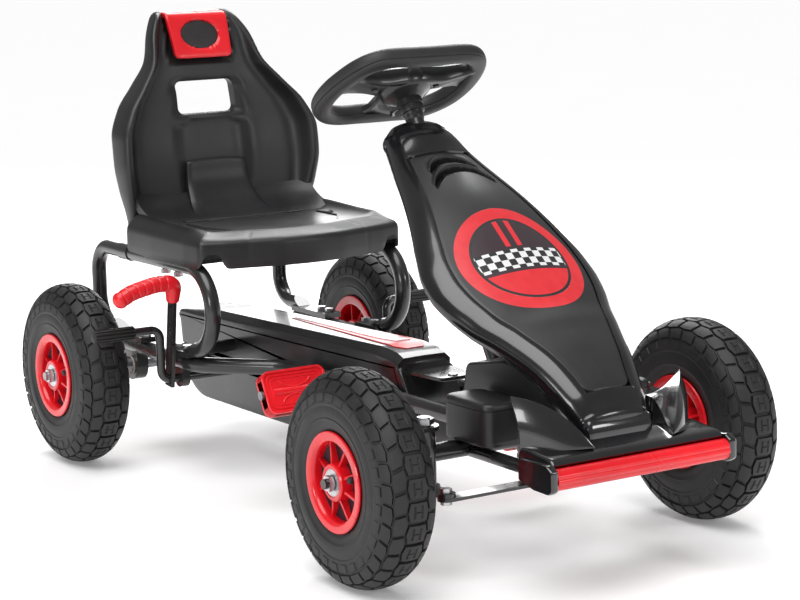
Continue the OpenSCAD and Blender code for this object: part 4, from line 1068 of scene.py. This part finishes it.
PAN_CORNERS = [(-806, -140), (-786, -165), (-700, -166), (-600, -166), (-558, -163), (-546, -128),
               (-538, -97), (-524, -50), (-519, 0), (-524, 50), (-538, 97), (-546, 128), (-558, 163),
               (-600, 166), (-700, 166), (-786, 165), (-806, 140)]


def drawn_in(outline, distance):
    """Outline moved inwards: along its normals for a small distance, and towards its middle for the rest."""
    distance = np.broadcast_to(np.asarray(distance, float), len(outline))
    centre = outline.mean(0)
    towards = centre - outline
    towards /= np.abs(towards).max(1)[:, None]
    near = inset_outline(outline, np.minimum(distance, 6))
    return near + towards * np.clip(distance - 6, 0, None)[:, None]


def make_seat_pan(materials):
    corners = np.array(PAN_CORNERS, float) + np.array([FRONT_X, 0])
    radii = [14, 16, 0, 0, 9, 0, 30, 90, 200, 90, 30, 0, 9, 0, 0, 16, 14]
    outline = resample(rounded(corners, radii, 6), 320)
    x, y = outline[:, 0] - FRONT_X, np.abs(outline[:, 1])
    frontness = ramp(x, -600, -545)
    shoulder = (0.55 + 0.45 * ramp(-x, 610, 760)) * ramp(y, 120, 160) * (1 - frontness)
    arch = np.exp(-((y - 146) / 15) ** 4) * ramp(x, -575, -556)
    bottom = 297 + 20 * arch
    crease = np.exp(-((y - 97) / 1.6) ** 2) * frontness
    levels = [  # inwards, height
        (5 + 0 * x, bottom + 6), (4 + 0 * x, bottom), (0.6 + 0 * x, bottom), (0 * x, bottom + 1),
        (0.9 * crease, bottom * 0 + 312), (0.9 * crease, bottom * 0 + 327),
              (0.8 + 0.9 * crease, 331.5 + 3 * shoulder),
        (2.6 + 0 * x, 334 + 4 * shoulder), (5.5 + 0 * x, 336.5 + 6 * shoulder - 0.8 * crease),
        (10 + 4 * frontness, 339.5 + 8 * shoulder - 1.0 * crease),
        (14 + 9 * frontness, 342.5 + 9 * shoulder - 1.0 * crease),
        (18 + 12 * frontness, 344.5 + 9 * shoulder), (20 + 13.5 * frontness, 345 + 8.5 * shoulder),
        (23 + 14.5 * frontness, 344.6 + 6 * shoulder), (27 + 15 * frontness, 343.6 + 3 * shoulder),
        (36 + 15 * frontness, 342.4 + 1.0 * shoulder), (48 + 15 * frontness, 341.6 + 0 * x)]
    rings = [np.column_stack([drawn_in(outline, d), h]) for d, h in levels]
    middle, last = np.array([FRONT_X - 665, 0, 340.2]), rings[-1]
    rings += [middle + (last - middle) * share for share in (0.85, 0.65, 0.42, 0.2, 0.04)]
    closed_loft("seat_pan", np.array(rings), materials["seat_plastic"], "frame", "seat_plastic",
                ("seat_shell",), 48)


def make_seat_details(materials):
    """Lumbar tongue, cove to the pan, and the raised lines on the pan's deck."""
    # surface rows from the tongue's lit top edge down into the pan: height, place, half width
    tongue = [(419, -811.5, 48), (418, -808.0, 48.5), (414, -806.5, 49), (402, -804.8, 50),
              (390, -801.5, 51.5), (380, -796.5, 53), (370, -789, 55), (361, -779, 58), (353, -765, 62),
              (347, -749, 67), (343.5, -730, 72), (338.5, -706, 77)]
    rows = []
    across = np.linspace(-1, 1, 33)
    for z, x, half in tongue:
        bow = 3.0 * (1 - across ** 2) * ramp(z, 380, 425)
        edge = 3.5 * np.abs(across) ** 14
        rows.append(np.stack([FRONT_X + x + 2.0 * across ** 2 - edge, half * across,
                              z + bow - edge * ramp(-z, -372, -350)], -1))
    front = refine_rows(np.array(rows), 5)
    make_shell("seat_lumbar_tongue", front, front - np.array([6.0, 0, 5.0]), materials["seat_plastic"],
               "seat_plastic")
    cove = [(376, -812), (373, -808), (370, -804), (366, -799), (360, -791), (354, -780), (348.5, -765),
            (344.0, -746), (336.0, -716)]
    across = np.linspace(-1, 1, 49)
    rows = [np.stack([FRONT_X + x + 20 * np.abs(across) ** 5, 147 * across,
                      z + 5 * np.abs(across) ** 6], -1) for z, x in cove]
    front = refine_rows(np.array(rows), 4)
    make_shell("seat_cove", front, front - np.array([8.0, 0, 10.0]), materials["seat_plastic"],
               "seat_plastic")
    lines = [[(-742, -96), (-722, -96), (-722, 96), (-742, 96)],
             [(-600, -84), (-640, -108), (-700, -108)], [(-600, 84), (-640, 108), (-700, 108)],
             [(-560, -60), (-556, 0), (-560, 60)], [(-690, 112), (-676, 112), (-676, 124), (-690, 124)]]
    stacks = []
    for line in lines:
        path = bent_path([(FRONT_X + x, y, 342.6) for x, y in line], 6, 3)
        path[:, 2] = 341.2 + 1.4 * ramp(np.abs(path[:, 1]), 60, 130)
        stacks.append(sweep(path, circle(1.3, 8), (0, 0, 1)))
    closed_loft("seat_deck_lines", stacks, materials["seat_plastic"], "frame", "seat_plastic")


BADGE_Z = 604


def make_headrest(materials):
    """Red panel that wraps over the top between the horns, with a sunk oval badge."""
    profile = [(571, -836.5), (570, -834.5), (572, -833.2), (577, -834), (590, -838.6), (605, -844),
               (618, -849), (627, -852.8), (633, -856.5), (636.5, -861), (638, -868), (638.2, -880),
               (637, -892), (633, -897)]
    path = refine_rows(np.array(profile)[:, None, :] * np.ones((1, 2, 1)), 5)[:, 0, :]
    across = np.linspace(-1, 1, 61)
    rows = []
    for z, x in path:
        half = 47 + 3 * ramp(z, 575, 635)
        corner = max(0.0, 8 - (z - 570)) if x > -850 else 0.0
        half -= 8 - math.sqrt(max(64 - corner ** 2, 0))
        y = half * across
        edge = 1.4 * np.clip(np.abs(across) - 0.95, 0, None) / 0.05
        oval = np.hypot(y / 33.0, (z - BADGE_Z) / 22.5) if x > -860 else np.full_like(y, 9.0)
        sink = 4.0 * (1 - ramp(oval, 0.93, 1.0)) + 0.7 * np.exp(-((oval - 1.04) / 0.03) ** 2)
        rows.append(np.stack([FRONT_X + x - edge - sink, y, z - (edge if x < -862 else 0 * edge)], -1))
    front = np.array(rows)
    back = front.copy()
    back[:, :, 0] -= 6 * (1 - ramp(-path[:, 1], 856, 866))[:, None]
    back[:, :, 2] -= 6 * ramp(-path[:, 1], 852, 866)[:, None]
    make_shell("headrest_cover", front, back, materials["red_plastic"], "red_plastic",
               replaces=("headrest_panel",), sharp=42)
    # the badge is a crowned oval set into the cover
    rings, a = [], turns(72)
    for share, rise in ((1.0, -2.6), (1.0, -0.8), (0.96, 0.0), (0.85, 0.5), (0.6, 1.0), (0.3, 1.3),
                        (0.04, 1.35)):
        y, dz = 31.0 * share * np.cos(a), 20.8 * share * np.sin(a)
        rings.append(np.stack([FRONT_X - 843.6 - 0.36 * dz - 3.2 + rise, y, BADGE_Z + dz], -1))
    closed_loft("headrest_oval", np.array(rings), materials["badge"], "frame", "badge_black",
                ("headrest_badge",), 60)


# ---- Steering wheel ----

RIM_SHAPE = [(-90, 84), (-75, 87), (-60, 98), (-45, 108), (-30, 110), (-15, 106), (0, 102), (15, 100),
             (30, 100), (45, 95), (60, 81), (75, 71), (90, 68)]


def rim_reach(angle):
    """Distance of the rim's centre line from the column; the angle is 0 at the side and 90 degrees ahead."""
    folded = np.degrees(np.arcsin(np.sin(angle)))
    return smooth(RIM_SHAPE, folded)


def squarish(turn, radius, power):
    """Radius of a rounded square section at each angle."""
    return radius * (np.abs(np.cos(turn)) ** power + np.abs(np.sin(turn)) ** power) ** (-1 / power)


def grooves(turn, places, depth, width):
    """Depth of the lengthwise grooves at these places, in degrees, of a section."""
    cuts = 0
    for place in np.radians(places):
        away = np.abs((turn - place + math.pi) % (2 * math.pi) - math.pi)
        cuts = cuts + depth * np.exp(-(away / width) ** 2)
    return cuts


def on_wheel(y, ahead, up):
    y, ahead, up = np.broadcast_arrays(*[np.asarray(q, float) for q in (y, ahead, up)])
    return (WHEEL_CENTRE + y[..., None] * np.array([0, 1.0, 0]) + ahead[..., None] * COLUMN_OUT
            + up[..., None] * COLUMN_UP)


def make_steering_wheel(materials):
    angles, turn = turns(120), turns(64)
    reach = rim_reach(angles)
    for _ in range(3):
        reach = (np.roll(reach, 1) + 2 * reach + np.roll(reach, -1)) / 4
    path = on_wheel(reach * np.cos(angles), reach * np.sin(angles), 0)
    outward = on_wheel(np.cos(angles), np.sin(angles), 0) - WHEEL_CENTRE
    # squarish section with a fine seam groove outside and inside
    radius = squarish(turn, 13, 2.5) - grooves(turn, (-28, 208), 1.1, 0.05)
    x = radius * np.cos(turn)
    y = radius * np.sin(turn) * 0.94
    rings = path[:, None, :] + x[None, :, None] * outward[:, None, :] + y[None, :, None] * COLUMN_UP
    make_piece("steering_grip", rings.reshape(-1, 3),
               grid_quads(*rings.shape[:2], close_rows=True, close_columns=True), materials["grip"],
               "steering", "wheel_grip", ("steering_rim",), 40)
    stacks = []
    for degrees, wide, narrow, ahead in ((8, 33, 24, 1), (172, 33, 24, -1), (270, 25, 20, 1)):
        angle = math.radians(degrees)
        along = np.array([math.cos(angle), math.sin(angle)])
        side = np.array([-math.sin(angle), math.cos(angle)]) * ahead
        end = float(rim_reach(angle)) - 8
        rows = []
        for t in np.linspace(0, 1, 17):
            r = 10 + (end - 10) * t
            half = wide + (narrow - wide) * ramp(t, 0, 0.6) + 7 * ramp(t, 0.82, 1.0)
            deep = 17 - 5 * ramp(t, 0.35, 0.9)
            # flat top, an upright wall towards the front, and an underside that rises to the rear edge
            section = [(-1, -2.5), (-0.97, 4.0), (-0.86, 6.0), (0, 6.8), (0.86, 6.0), (0.98, 3.5), (1.0, 0),
                       (0.97, -deep + 4), (0.88, -deep), (0.70, -deep - 0.6), (0.62, -deep + 2.6),
                       (0.1, -0.62 * deep), (-0.55, -0.42 * deep), (-0.88, -5.6)]
            rows.append([on_wheel(r * along[0] + q * half * side[0], r * along[1] + q * half * side[1], h)
                         for q, h in section])
        stacks.append(np.array(rows))
    closed_loft("steering_spoke_plate", stacks, materials["satin_black"], "steering", "spoke_plastic",
                ("steering_spokes",), 35, bevel=1.0)
    hub = [(-27, 17.2), (-26, 19), (-21, 25), (-19.5, 30), (-17, 33), (-10, 35), (-3, 36), (3, 35), (7, 32),
           (10.5, 26), (12.4, 18), (13, 9), (13, 0.5)]
    closed_loft("steering_hub", turned(WHEEL_CENTRE, COLUMN_UP, hub, 64), materials["satin_black"],
                "steering", "spoke_plastic", (), 40)
    screws = [turned(on_wheel(y, ahead, -11.5), COLUMN_UP, [(0, 4.2), (2.4, 4.2)], 24)
              for y, ahead in ((-47, 2), (47, 2), (0, -44))]
    closed_loft("steering_screws", screws, materials["rubber"], "steering", "zinc", (), 40, bevel=0.8)
    collar = [(-56, 11.3), (-55, 12.2), (-50, 12.6), (-47, 12.8), (-45.4, 13.4), (-45, 16.0), (-42, 16.6),
              (-37, 16.6), (-36.4, 16.0), (-35.4, 16.0), (-34.8, 16.8), (-20, 17.2)]
    closed_loft("steering_collar_sleeve", turned(WHEEL_CENTRE, COLUMN_UP, collar, 48),
                materials["matte_black"], "steering", "matte_black", ("steering_collar",), 40)


# ---- Chain guard ----

CRANK_X = FRONT_X - 280


def guard_outline():
    """Side view of the chain guard, from its back over the bottom and the front to the top."""
    rear = [(REAR_X + 72 * math.cos(a), AXLE_Z + 66 * math.sin(a)) for a in np.radians(np.arange(180, 271,
                                                                                                 6))]
    front = [(CRANK_X + 66 * math.cos(a), AXLE_Z + 62 * math.sin(a)) for a in np.radians(np.arange(270, 391,
                                                                                                   6))]
    top = [(CRANK_X + 46, 202), (CRANK_X + 18, 212), (CRANK_X - 17, 215), (REAR_X + 41, 202),
           (REAR_X - 74, 192), (REAR_X - 89, 176)]
    return np.array(rear + front + list(rounded(top, [10, 26, 30, 160, 14, 16], 5)))


def make_chain_guard(materials):
    """Two moulded halves with rounded shoulders and a joint line, and the striped sticker on top."""
    half = 42.0
    outline = resample(guard_outline(), 300)
    edge = [(-half, 9), (-half, 4), (-half + 0.4, 1.6), (-half + 1.6, 0.4), (-half + 4, 0), (-half + 10, 0)]
    profile = edge + [(0, 0)] + [(-w, d) for w, d in reversed(edge)]
    for name, side, limit in (("upper", 1, np.maximum), ("lower", -1, np.minimum)):
        joint = AXLE_Z + side * 0.3
        clipped = outline.copy()
        clipped[:, 1] = limit(clipped[:, 1], joint)
        rings = []
        for y, inset in profile:
            flat = inset_outline(clipped, inset)
            flat[:, 1] = limit(flat[:, 1], joint)
            if side > 0:
                flat[:, 1] -= 8.0 * ramp(np.abs(y), 30, 42) * ramp(clipped[:, 1], 188, 200)
            rings.append(np.stack([flat[:, 0], np.full(len(flat), y), flat[:, 1]], -1))
        closed_loft("chain_guard_" + name + "_moulded", np.array(rings), materials["satin_black"], "frame",
                    "gloss_black", ("chain_guard_" + name,), 38)
    front_end = cad_box_of("chain_guard_upper")[1][0]
    plate = rounded([(CRANK_X + 44, -34), (front_end, -26), (front_end, 26), (CRANK_X + 44, 34)], 9)
    closed_loft("chain_guard_tongue", slab(plate, (0, 0, 0), (1, 0, 0), (0, 1, 0), 186, 191, 1.0),
                materials["satin_black"], "frame", "gloss_black", (), 40)
    screw = turned(np.array([front_end - 13, 0, 190.5]), Z_UP, [(0, 6.5), (2, 6.5), (2.5, 5.6)], 24)
    closed_loft("chain_guard_screw", screw, materials["zinc"], "frame", "zinc", (), 40)
    make_sticker(materials)


def make_sticker(materials):
    """Racing stripe on the top of the guard: a white blade with a red one beside it."""
    start, end = FRONT_X - 600, FRONT_X - 300
    top_at = [(REAR_X - 74, 192), (REAR_X + 41, 202), (FRONT_X - 297, 215), (FRONT_X - 262, 212)]
    blades = (("red", "stripe_red", 0.9, [(0.0, -6, -3), (0.15, -16, 2), (0.5, -22, 10), (0.9, -28, 20),
                                          (1.04, -26, 22), (1.1, -14, 12)]),
              ("white", "stripe_white", 1.8, [(0.02, -9, -5), (0.2, -15, -3), (0.85, -20, 6),
                                              (0.97, -19, 2)]))
    for name, material, rise, rows in blades:
        grid = []
        table_a, table_b = [(r[0], r[1]) for r in rows], [(r[0], r[2]) for r in rows]
        for t in np.linspace(rows[0][0], rows[-1][0], 40):
            x = start + (end - start) * t
            z = np.interp(x, *zip(*top_at)) + rise
            left, right = float(smooth(table_a, t)), float(smooth(table_b, t))
            grid.append([(x, -left + (left - right) * q, z) for q in np.linspace(0, 1, 6)])
        front = np.array(grid)
        make_shell("chain_guard_stripe_" + name, front, front - np.array([0, 0, 2.4]), materials[material],
                   "red_plastic" if "red" in name else "satin_panel")


# ---- Nose: bumper, fins, pods and base ----

SIDE_WORD = {1: "left", -1: "right"}


def make_nose(materials):
    make_bumper(materials)
    for side in (-1, 1):
        make_fin(side, materials)
        make_pod(side, materials)
    make_hood_base(materials)


def make_bumper(materials):
    half = 123.5
    x = FRONT_X
    # cross sections along Y: crowned top with a raised middle that blends down to the wings
    stations = np.concatenate([np.linspace(-half, -half + 5, 4), np.linspace(-half + 10, half - 10, 59),
                               np.linspace(half - 5, half, 4)])
    rows = []
    for y in stations:
        edge = 3.0 * (1 - math.sqrt(max(0.0, 1 - max(0.0, (abs(y) - half + 5) / 5) ** 2)))
        lift = 5.0 * float(1 - ramp(abs(y), 58, 66))
        shape = [(138, 137 + edge), (138, 168 - edge), (141, 173.5 - edge), (150, 174.6 - edge + 0.35 * lift),
                 (157, 174.2 - edge + lift), (166, 173.0 - edge + lift * 0.92),
                 (176, 172.0 - edge + lift * 0.55), (186, 171.2 - edge + lift * 0.12), (196, 170 - edge),
                 (201, 167 - edge), (203, 163.6 - edge), (201, 161), (192, 160.6), (190, 158), (190, 139),
                 (187, 134 + edge), (160, 132 + edge)]
        rows.append([(x + a, y, b) for a, b in shape])
    closed_loft("bumper_cover", np.array(rows), materials["gloss_black"], "frame", "gloss_black",
                ("bumper_shell",), 42)
    # the block that the hood's nose rests on
    outline = block(37, 49, 9, 6) + np.array([x + 133, 0])
    levels = [(0, 166), (0, 182), (2.5, 194), (6, 197), (9, 198)]
    rings = [np.column_stack([inset_outline(outline, inset), np.full(len(outline), z)]) for inset,
             z in levels]
    closed_loft("nose_block", np.array(rings), materials["gloss_black"], "frame", "gloss_black", (), 42)
    # round bar with two long flutes on its front
    bar_low, bar_high = cad_box_of("bumper_bar")
    centre_x, _, centre_z = cad_middle("bumper_bar")
    radius = (bar_high[2] - bar_low[2]) / 2
    turn = turns(48)
    r = np.minimum(squarish(turn, radius, 2.4), radius) - grooves(turn, (14, -24), 1.3, 0.13)
    rings = [np.stack([centre_x + r * np.cos(turn), np.full(48, y), centre_z + r * np.sin(turn)], -1)
             for y in np.linspace(bar_low[1], bar_high[1], 40)]
    closed_loft("bumper_bar_moulded", np.array(rings), materials["red_gloss"], "frame", "red_plastic",
                ("bumper_bar",), 35)
    front_end, y_out, _ = cad_box_of("bumper_end_caps")[1]
    y_in = 124.0
    profile = rounded([(x + 150, 140), (x + 150, 165), (x + 205, 166), (front_end, 160), (front_end, 137),
                       (x + 208, 132.5), (x + 180, 133)], [2, 4, 7, 5, 5, 6, 4])
    # slab() counts its thickness towards -Y here
    stacks = [slab(profile, (0, 0, 0), (1, 0, 0), Z_UP, low, high, 1.6)
              for low, high in ((y_in, y_out), (-y_out, -y_in))]
    closed_loft("bumper_cap_pair", stacks, materials["gloss_black"], "frame", "gloss_black",
                ("bumper_end_caps",), 35)


def make_fin(side, materials):
    """Wedge on the bumper's corner: an upright outer wall, a bulged front face and an inner face that slopes
    down to the hood. The crest between the two faces falls from the tip to the bumper's middle."""
    x = FRONT_X
    tip, end = np.array([x + 123, 124.0, 230.0]), np.array([x + 193, 57.0, 173.0])
    outer_foot, rear_top = np.array([x + 140, 123.0, 171.0]), np.array([x + 104, 84.0, 200.0])
    rings = []
    for t in np.linspace(0, 1, 25):
        crest = (1 - t) ** 2 * tip + 2 * t * (1 - t) * (0.5 * (tip + end) + np.array([12, -4,
                                                                                      25])) + t ** 2 * end
        foot = outer_foot + (end - outer_foot) * t + np.array([10, 0, 0]) * math.sin(math.pi * t)
        back = rear_top + (end - rear_top) * t ** 1.3 + np.array([0, 12, 6]) * math.sin(math.pi * t) * (1 - t)
        low_back = np.array([back[0] - 2 * (1 - t), back[1], 171.0 - 2 * (1 - t)])
        ring = []
        for q in np.linspace(0, 0.96, 9):
            ring.append(foot + (crest - foot) * q + np.array([6.0, 0, 0]) * math.sin(math.pi * q) * (1 - t))
        ring.append(crest)
        for q in np.linspace(0.05, 1, 9):
            sag = np.array([0, 0, -7.0]) * math.sin(math.pi * q) * (1 - t)
            ring.append(crest + (back - crest) * q + sag)
        ring.append(low_back + 0.5 * (back - low_back))
        ring.append(low_back)
        ring.append(0.5 * (low_back + foot) - np.array([0, 0, 1.0 - t]))
        rings.append(ring)
    rings = np.array(rings)
    rings[:, :, 1] *= side
    node = "bumper_fin_" + SIDE_WORD[side]
    closed_loft(node + "_moulded", rings, materials["gloss_black"], "frame", "gloss_black", (node,), 30,
                bevel=0.9)


def make_pod(side, materials):
    """Box beside the hood's foot, with a rolled lid edge and rounded upright corners."""
    node = "side_pod_" + SIDE_WORD[side]
    low, high = cad_box_of(node)
    x0, x1 = low[0], high[0]
    y0, y1 = sorted((abs(low[1]), abs(high[1])))
    outline = rounded([(x0, y0), (x1, y0), (x1, y1), (x0, y1)], 15, 8)
    levels = [(4.0, low[2]), (1.0, low[2]), (0.2, low[2] + 1.0), (0, low[2] + 6), (0, high[2] - 12),
              (0, high[2] - 9.4), (1.0, high[2] - 8.8), (1.0, high[2] - 7.8), (0, high[2] - 7.2),
              (0.3, high[2] - 4.2), (1.4, high[2] - 1.8), (3.4, high[2] - 0.5), (6, high[2]),
              (20, high[2] + 0.3), (27, high[2] + 0.4)]
    rings = []
    for inset, z in levels:
        flat = inset_outline(outline, inset) if inset < 14 else (
            outline.mean(0) + (outline - outline.mean(0)) * (1 - inset / 31))
        rings.append(np.stack([flat[:, 0], side * flat[:, 1], np.full(len(flat), z)], -1))
    closed_loft(node + "_moulded", np.array(rings), materials["matte_black"], "frame", "matte_black", (node,),
                38)


def make_hood_base(materials):
    """Sloping cover round the foot of the column."""
    x = FRONT_X
    profile = rounded([(x - 60, 186), (x - 48, 236), (x + 30, 250), (x + 100, 214), (x + 122, 186)],
                      [2, 12, 14, 12, 4], 5)
    narrow = np.interp(profile[:, 0], [x + 20, x + 60, x + 122], [1.0, 0.77, 0.55])
    rows = []
    for y in np.concatenate([np.linspace(-70, -64, 4), np.linspace(-56, 56, 15), np.linspace(64, 70, 4)]):
        inset = 4.0 * (1 - math.sqrt(max(0.0, 1 - max(0.0, (abs(y) - 64) / 6) ** 2)))
        middle = np.array([x + 30, 205])
        flat = middle + (profile - middle) * (1 - inset / 60)
        rows.append(np.stack([flat[:, 0], y * narrow, flat[:, 1]], -1))
    closed_loft("hood_base_moulded", np.array(rows), materials["matte_black"], "frame", "matte_black",
                ("hood_base",), 36)


# ---- Pedals and brake ----

def make_pedals(materials):
    """Red pedals: a thick rounded block with nested rims, curved ribs and a tread on both faces."""
    tilt = math.radians(62)
    u, v = np.array([math.cos(tilt), 0, -math.sin(tilt)]), np.array([0.0, 1.0, 0.0])
    w = np.cross(u, v)
    for node in ("pedal_left", "pedal_right"):
        centre = cad_middle(node)
        stacks = [slab(block(29, 47, 11, 7), centre, u, v, -7.5, 7.5, 1.2)]
        bands = ((29, 47, 11, 3.0, 10.0), (23, 41, 9, 1.8, 8.8), (18.6, 36.6, 7, 1.6, 8.4))
        for long, wide, corner, thick, height in bands:
            stacks.append(ring_wall(block(long, wide, corner, 7), thick, centre, u, v, height))
        for sign in (-1, 1):
            arc = [(sign * (18 - 13 * math.cos(a)), 24 * math.sin(a)) for a in np.linspace(-1.35, 1.35, 19)]
            for face in (-1, 1):
                path = np.array([centre + a * u + b * v + face * 7.6 * w for a, b in arc])
                stacks.append(sweep(path, circle(1.1, 8), w))
        for face in (-1, 1):
            path = np.array([centre + b * v + face * 6.0 * w for b in np.linspace(-34, 34, 20)])
            stacks.append(sweep(path, circle(5.0, 16, 0.8), w))
        closed_loft(node + "_moulded", stacks, materials["red_plastic"], node, "red_plastic", (node,), 38)


def ring_wall(outline, thick, centre, u, v, height):
    """Low wall along an outline, standing on both faces of a plate; as closed four-sided rings."""
    inner = inset_outline(outline, thick)
    w = np.cross(u, v)
    loop_rings = []
    for k in range(len(outline)):
        outside, inside = outline[k], inner[k]
        points = []
        for flat, h in ((outside, -height + 0.6), (outside, height - 0.6),
                        (outside * 0.96 + inside * 0.04, height), (inside * 0.8 + outside * 0.2, height),
                        (inside, height - 0.6), (inside, -height + 0.6),
                        (inside * 0.8 + outside * 0.2, -height), (outside * 0.96 + inside * 0.04, -height)):
            points.append(centre + flat[0] * u + flat[1] * v + h * w)
        loop_rings.append(points)
    return np.array(loop_rings + loop_rings[:1])


def make_brake(materials):
    """Red grip with finger grooves, and ribbed sleeves on the brake bar."""
    brake_x = FRONT_X - 640  # the brake bar's axis
    corners = [(brake_x + 18, -175, 247), (brake_x + 19.5, -175, 254), (brake_x + 25, -176, 275),
               (brake_x + 24, -204, 275), (brake_x + 22.5, -238, 268), (brake_x + 22, -266, 254)]
    path = bent_path(corners, [0, 6, 14, 70, 70, 0], 1.2)
    length = length_along(path)
    even = np.linspace(0, length[-1], 150)
    path = np.stack([np.interp(even, length, path[:, k]) for k in range(3)], -1)
    total = even[-1]
    radius = np.interp(even, [0, 10, 24, 40, total - 16, total], [9.0, 10.2, 12.2, 11.6, 11.6, 12.4])
    for at in np.arange(38, total - 14, 11.0):
        radius = radius - 0.8 * np.exp(-((even - at) / 0.9) ** 2)
    from_tip = total - even
    radius = radius * np.sqrt(np.clip(1 - np.clip(1 - from_tip / 11, 0, 1) ** 2, 0.02, 1))
    radius = radius * np.sqrt(np.clip(1 - np.clip(1 - even / 3, 0, 1) ** 2 * 0.3, 0.02, 1))
    rings = sweep(path, circle(1.0, 40), (1, 0, 0), scale=radius)
    closed_loft("brake_grip_moulded", rings, materials["red_plastic"], "brake", "red_plastic",
                ("brake_grip",), 60)
    bar_z = cad_middle("brake_sleeves")[2]
    turn = turns(96)
    r = 8.6 + 0.9 * np.clip(np.cos(turn * 12) * 2, -1, 1)
    stations = [(228, 0.86), (229.2, 1.0), (286, 1.0), (289, 0.95), (290, 0.80)]
    stacks = [np.array([np.stack([brake_x + r * s * np.cos(turn), np.full(96, side * y),
                                  bar_z + r * s * np.sin(turn)], -1) for y, s in stations]) for side in (-1,
                                                                                                         1)]
    closed_loft("brake_sleeve_pair", stacks, materials["rubber"], "brake", "soft_rubber", ("brake_sleeves",),
                45)


# ---- CAD nodes that stay ----

CAD_FINISH = {
    "frame_paint": ["rail_left", "rail_right", "rear_crossbar", "front_beam", "seat_hoop_left",
                    "seat_hoop_right", "rear_bearing_brackets", "crank_brackets", "brake_hangers",
                    "column_support", "knuckle_left", "knuckle_right", "tie_rod", "steering_shaft",
                    "brake_lever"],
    "zinc": ["frame_bolts", "kingpins", "axle_nut_left", "axle_nut_right", "tie_rod_bolts", "rear_axle_nuts",
             "bearings_front_left", "bearings_front_right", "bearings_rear_right"],
    "steel": ["rear_axle", "rear_sprocket", "crank", "chainring", "drive_chain"],
    "nylon": ["nylon_bushes"],
}


def finish_cad(materials):
    """Gives each carried-over CAD node its procedural material."""
    for material, names in CAD_FINISH.items():
        for name in names:
            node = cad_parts[name]
            node.data.materials.clear()
            node.data.materials.append(materials[material])


make_camera()
make_studio()
finishes = make_materials()
make_wheels(finishes)
make_hood(finishes)
make_seat_back(finishes)
make_seat_pan(finishes)
make_seat_details(finishes)
make_headrest(finishes)
make_steering_wheel(finishes)
make_chain_guard(finishes)
make_nose(finishes)
make_pedals(finishes)
make_brake(finishes)
finish_cad(finishes)
